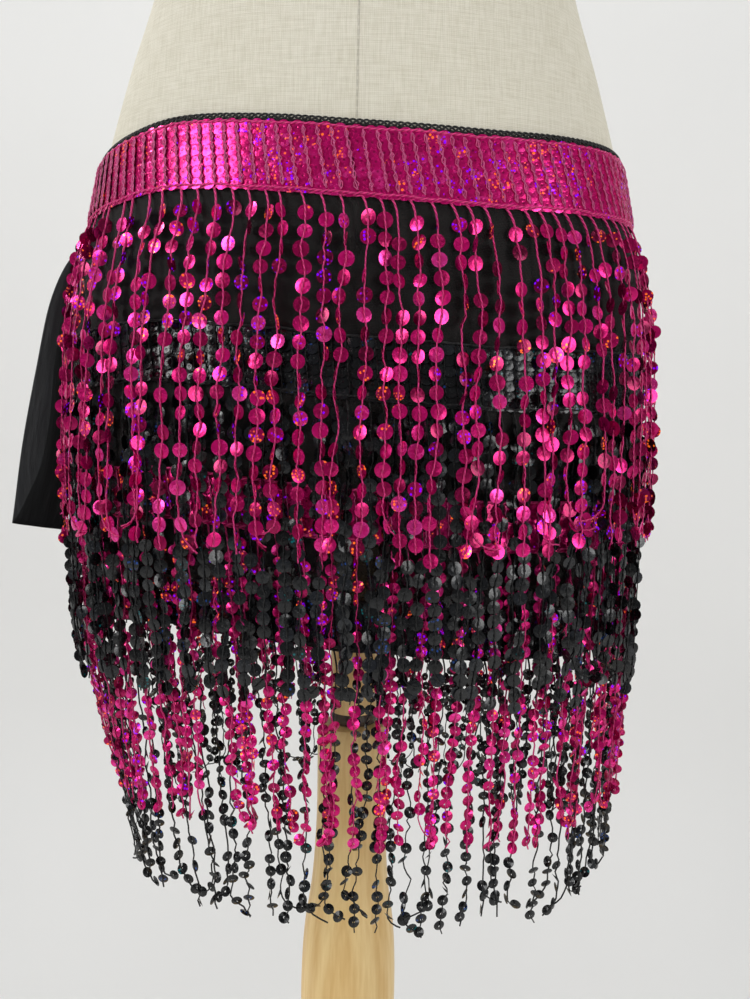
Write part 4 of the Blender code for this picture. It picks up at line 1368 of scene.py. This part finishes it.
# x, y, z, half width, half thickness and turn, from the knot to the cut end
frontTail = (
    (-0.1680, 0.0360, 0.8965, 0.0040, 0.0030, 10.0),
    (-0.1785, 0.0360, 0.8860, 0.0105, 0.0036, 8.0),
    (-0.1888, 0.0330, 0.8580, 0.0131, 0.0040, 4.0),
    (-0.1965, 0.0290, 0.8150, 0.0141, 0.0042, 0.0),
    (-0.2032, 0.0250, 0.7640, 0.0164, 0.0040, -4.0),
    (-0.2083, 0.0220, 0.7120, 0.0176, 0.0036, -6.0),
)
backTail = (
    (-0.1640, 0.0448, 0.8965, 0.0040, 0.0030, 60.0),
    (-0.1680, 0.0520, 0.8850, 0.0070, 0.0034, 58.0),
    (-0.1745, 0.0610, 0.8600, 0.0100, 0.0036, 60.0),
    (-0.1800, 0.0690, 0.8150, 0.0130, 0.0038, 66.0),
    (-0.1830, 0.0740, 0.7400, 0.0150, 0.0034, 72.0),
)
# height and place across, from -1 to 1, of the free edge of the tail's folded front layer
frontFold = np.array([
    (0.712, -0.97), (0.7165, -0.82), (0.730, -0.52), (0.750, -0.13), (0.7765, 0.0),
    (0.831, -0.20), (0.870, -0.10), (0.897, 0.10),
])
backFold = np.array([(0.740, 0.15), (0.790, 0.05), (0.840, -0.10), (0.897, -0.20)])


def tieFrame():
    height = float(heightAt(tieAngle, tieLook["knotDrop"]))
    middle = clothPoint(np.array(tieAngle), height, tieLook["knotOut"])
    out = middle - clothPoint(np.array(tieAngle), height)
    out = out / np.linalg.norm(out)
    return middle, np.array([-out[1], out[0], 0.0]), out


def buildKnot():
    # a small round knot, its cloth pulled round it in uneven wraps
    middle, along, out = tieFrame()
    rings = []
    turns = np.linspace(0.0, 2 * math.pi, 56, endpoint=False)
    for rise in np.linspace(-0.985, 0.985, 34):
        level = math.sqrt(1 - rise * rise)
        wraps = 1 - 0.06 * np.abs(np.sin(2.0 * turns + 3.4 * rise + 0.4)) - 0.03 * np.abs(np.sin(5.0 * turns - 5.0 * rise))
        x = level * np.cos(turns) * wraps * tieLook["knotHalf"][0]
        y = level * np.sin(turns) * wraps * tieLook["knotHalf"][1]
        ring = middle - x[:, None] * along + y[:, None] * out
        rings.append(ring + np.array([0.0, 0.0, rise * tieLook["knotHalf"][2]]))
    return placeRoot(loft("tieKnot", rings, finishes["satin"]), ["tie_knot"])


def buildStrap(name, side, node):
    middle, along, out = tieFrame()
    look = tieLook
    turns = np.linspace(0.0, 2 * math.pi, look["strapSides"], endpoint=False)
    start = middle + side * (look["knotHalf"][0] - 0.0006) * along
    gathers = 1 - 0.30 * np.abs(np.sin(3.5 * turns))
    small = start - np.outer(np.cos(turns) * gathers, side * look["strapKnotHalfThickness"] * out)
    small = small + np.outer(np.sin(turns) * gathers, np.array([0.0, 0.0, look["strapKnotHalfHeight"]]))
    share = np.array([0.0 if side > 0 else 1.0])
    wide = []
    for turn in turns:
        drop = tiers[0][3] / 2 - math.sin(turn) * look["strapHalfHeight"]
        lift = seamGap + bandWall / 2 - side * math.cos(turn) * look["strapHalfThickness"]
        wide.append(clothRow(share, drop, lift)[0] - side * look["strapEndGap"] * along)
    wide = np.array(wide)
    rings = [small + (wide - small) * (s * s * (3 - 2 * s) * 0.4 + s * 0.6) for s in np.linspace(0.0, 1.0, 12)]
    return placeRoot(loft(name, rings, finishes["satin"]), [node])


def buildTail(name, stations, foldLine, node, slope):
    # one strip of cloth folded over at its right, its front layer's free edge crossing the back layer
    table = np.array([(i, *station) for i, station in enumerate(stations)])
    rows = []
    for at in np.linspace(len(stations) - 1, 0.0, 70):
        x, y, z, halfWidth, halfThick, turn = (float(smoothRead(table, column, at)) for column in range(1, 7))
        edge = float(smoothRead(foldLine, 1, z))
        back = np.linspace(-1.0, 0.96, 30)
        bendTurn = np.linspace(-math.pi / 2, math.pi / 2, 9)[1:-1]
        front = np.linspace(0.96, edge, 24)
        fullness = 1.0 - 0.35 * at / (len(stations) - 1)
        u = np.concatenate([back, 0.96 + 0.04 * np.cos(bendTurn), front])
        backV = 0.42 + 0.30 * np.cos(1.45 * back) + 0.10 * np.sin(5.0 * back + 9.0 * z)
        frontV = -0.42 - 0.30 * np.cos(1.45 * front) + 0.10 * np.sin(6.0 * front + 30.0 * z)
        # the free edge lies down on the layer behind it
        settle = np.exp(-np.abs(front - edge) / 0.16)
        frontV = frontV * (1 - settle) + (0.42 + 0.30 * np.cos(1.45 * front) - 0.42) * settle
        v = np.concatenate([backV, np.interp(bendTurn, [-math.pi / 2, math.pi / 2], [backV[-1], frontV[0]]), frontV])
        wide = np.array([math.cos(math.radians(turn)), math.sin(math.radians(turn)), 0.0])
        thick = np.array([-wide[1], wide[0], 0.0])
        row = np.array([x, y, z]) + np.outer(u * halfWidth, wide) + np.outer(v * halfThick * fullness, thick)
        low = np.clip(1.0 - (z - stations[-1][2]) / 0.02, 0.0, 1.0)
        row[:, 2] += low * slope * u
        rows.append(row)
    piece = loft(name, rows, finishes["satin"], closed=False, caps=False)
    piece.data.materials.append(finishes["satinBack"])
    columns = len(rows[0]) - 1
    dull = [1 if index % columns > 33 else 0 for index in range(len(piece.data.polygons))]
    piece.data.polygons.foreach_set("material_index", dull)
    thicken(piece, tieLook["tailWall"], 0.0)
    area = float(sum(
        np.linalg.norm(np.diff(rows[i], axis=0), axis=1).sum() * np.linalg.norm(rows[i + 1].mean(0) - rows[i].mean(0))
        for i in range(len(rows) - 1)
    ))
    placeRoot(piece, [node])
    return piece, area


# ---- making everything

addCamera(cameraLook)
addLights()
addRoom(finishes["wall"])
print("camera, light and room ready")

buildTorso(torsoLook)
buildStand()
print("form made")

panel = buildPanel(panelLook)
edging = buildEdging(edgingLook)
for tier in tiers:
    tape, extras = buildBand(tier)
for tier in tiers:
    buildFringe(tier)

knot = buildKnot()
frontStrap = buildStrap("tieStrapFront", 1, "tie_strap_front")
backStrap = buildStrap("tieStrapBack", -1, "tie_strap_back")
frontPiece, frontArea = buildTail("tieTailFront", frontTail, frontFold, "tie_tail_front", -0.0015)
backPiece, backArea = buildTail("tieTailBack", backTail, backFold, "tie_tail_back", 0.001)
print("tie made")
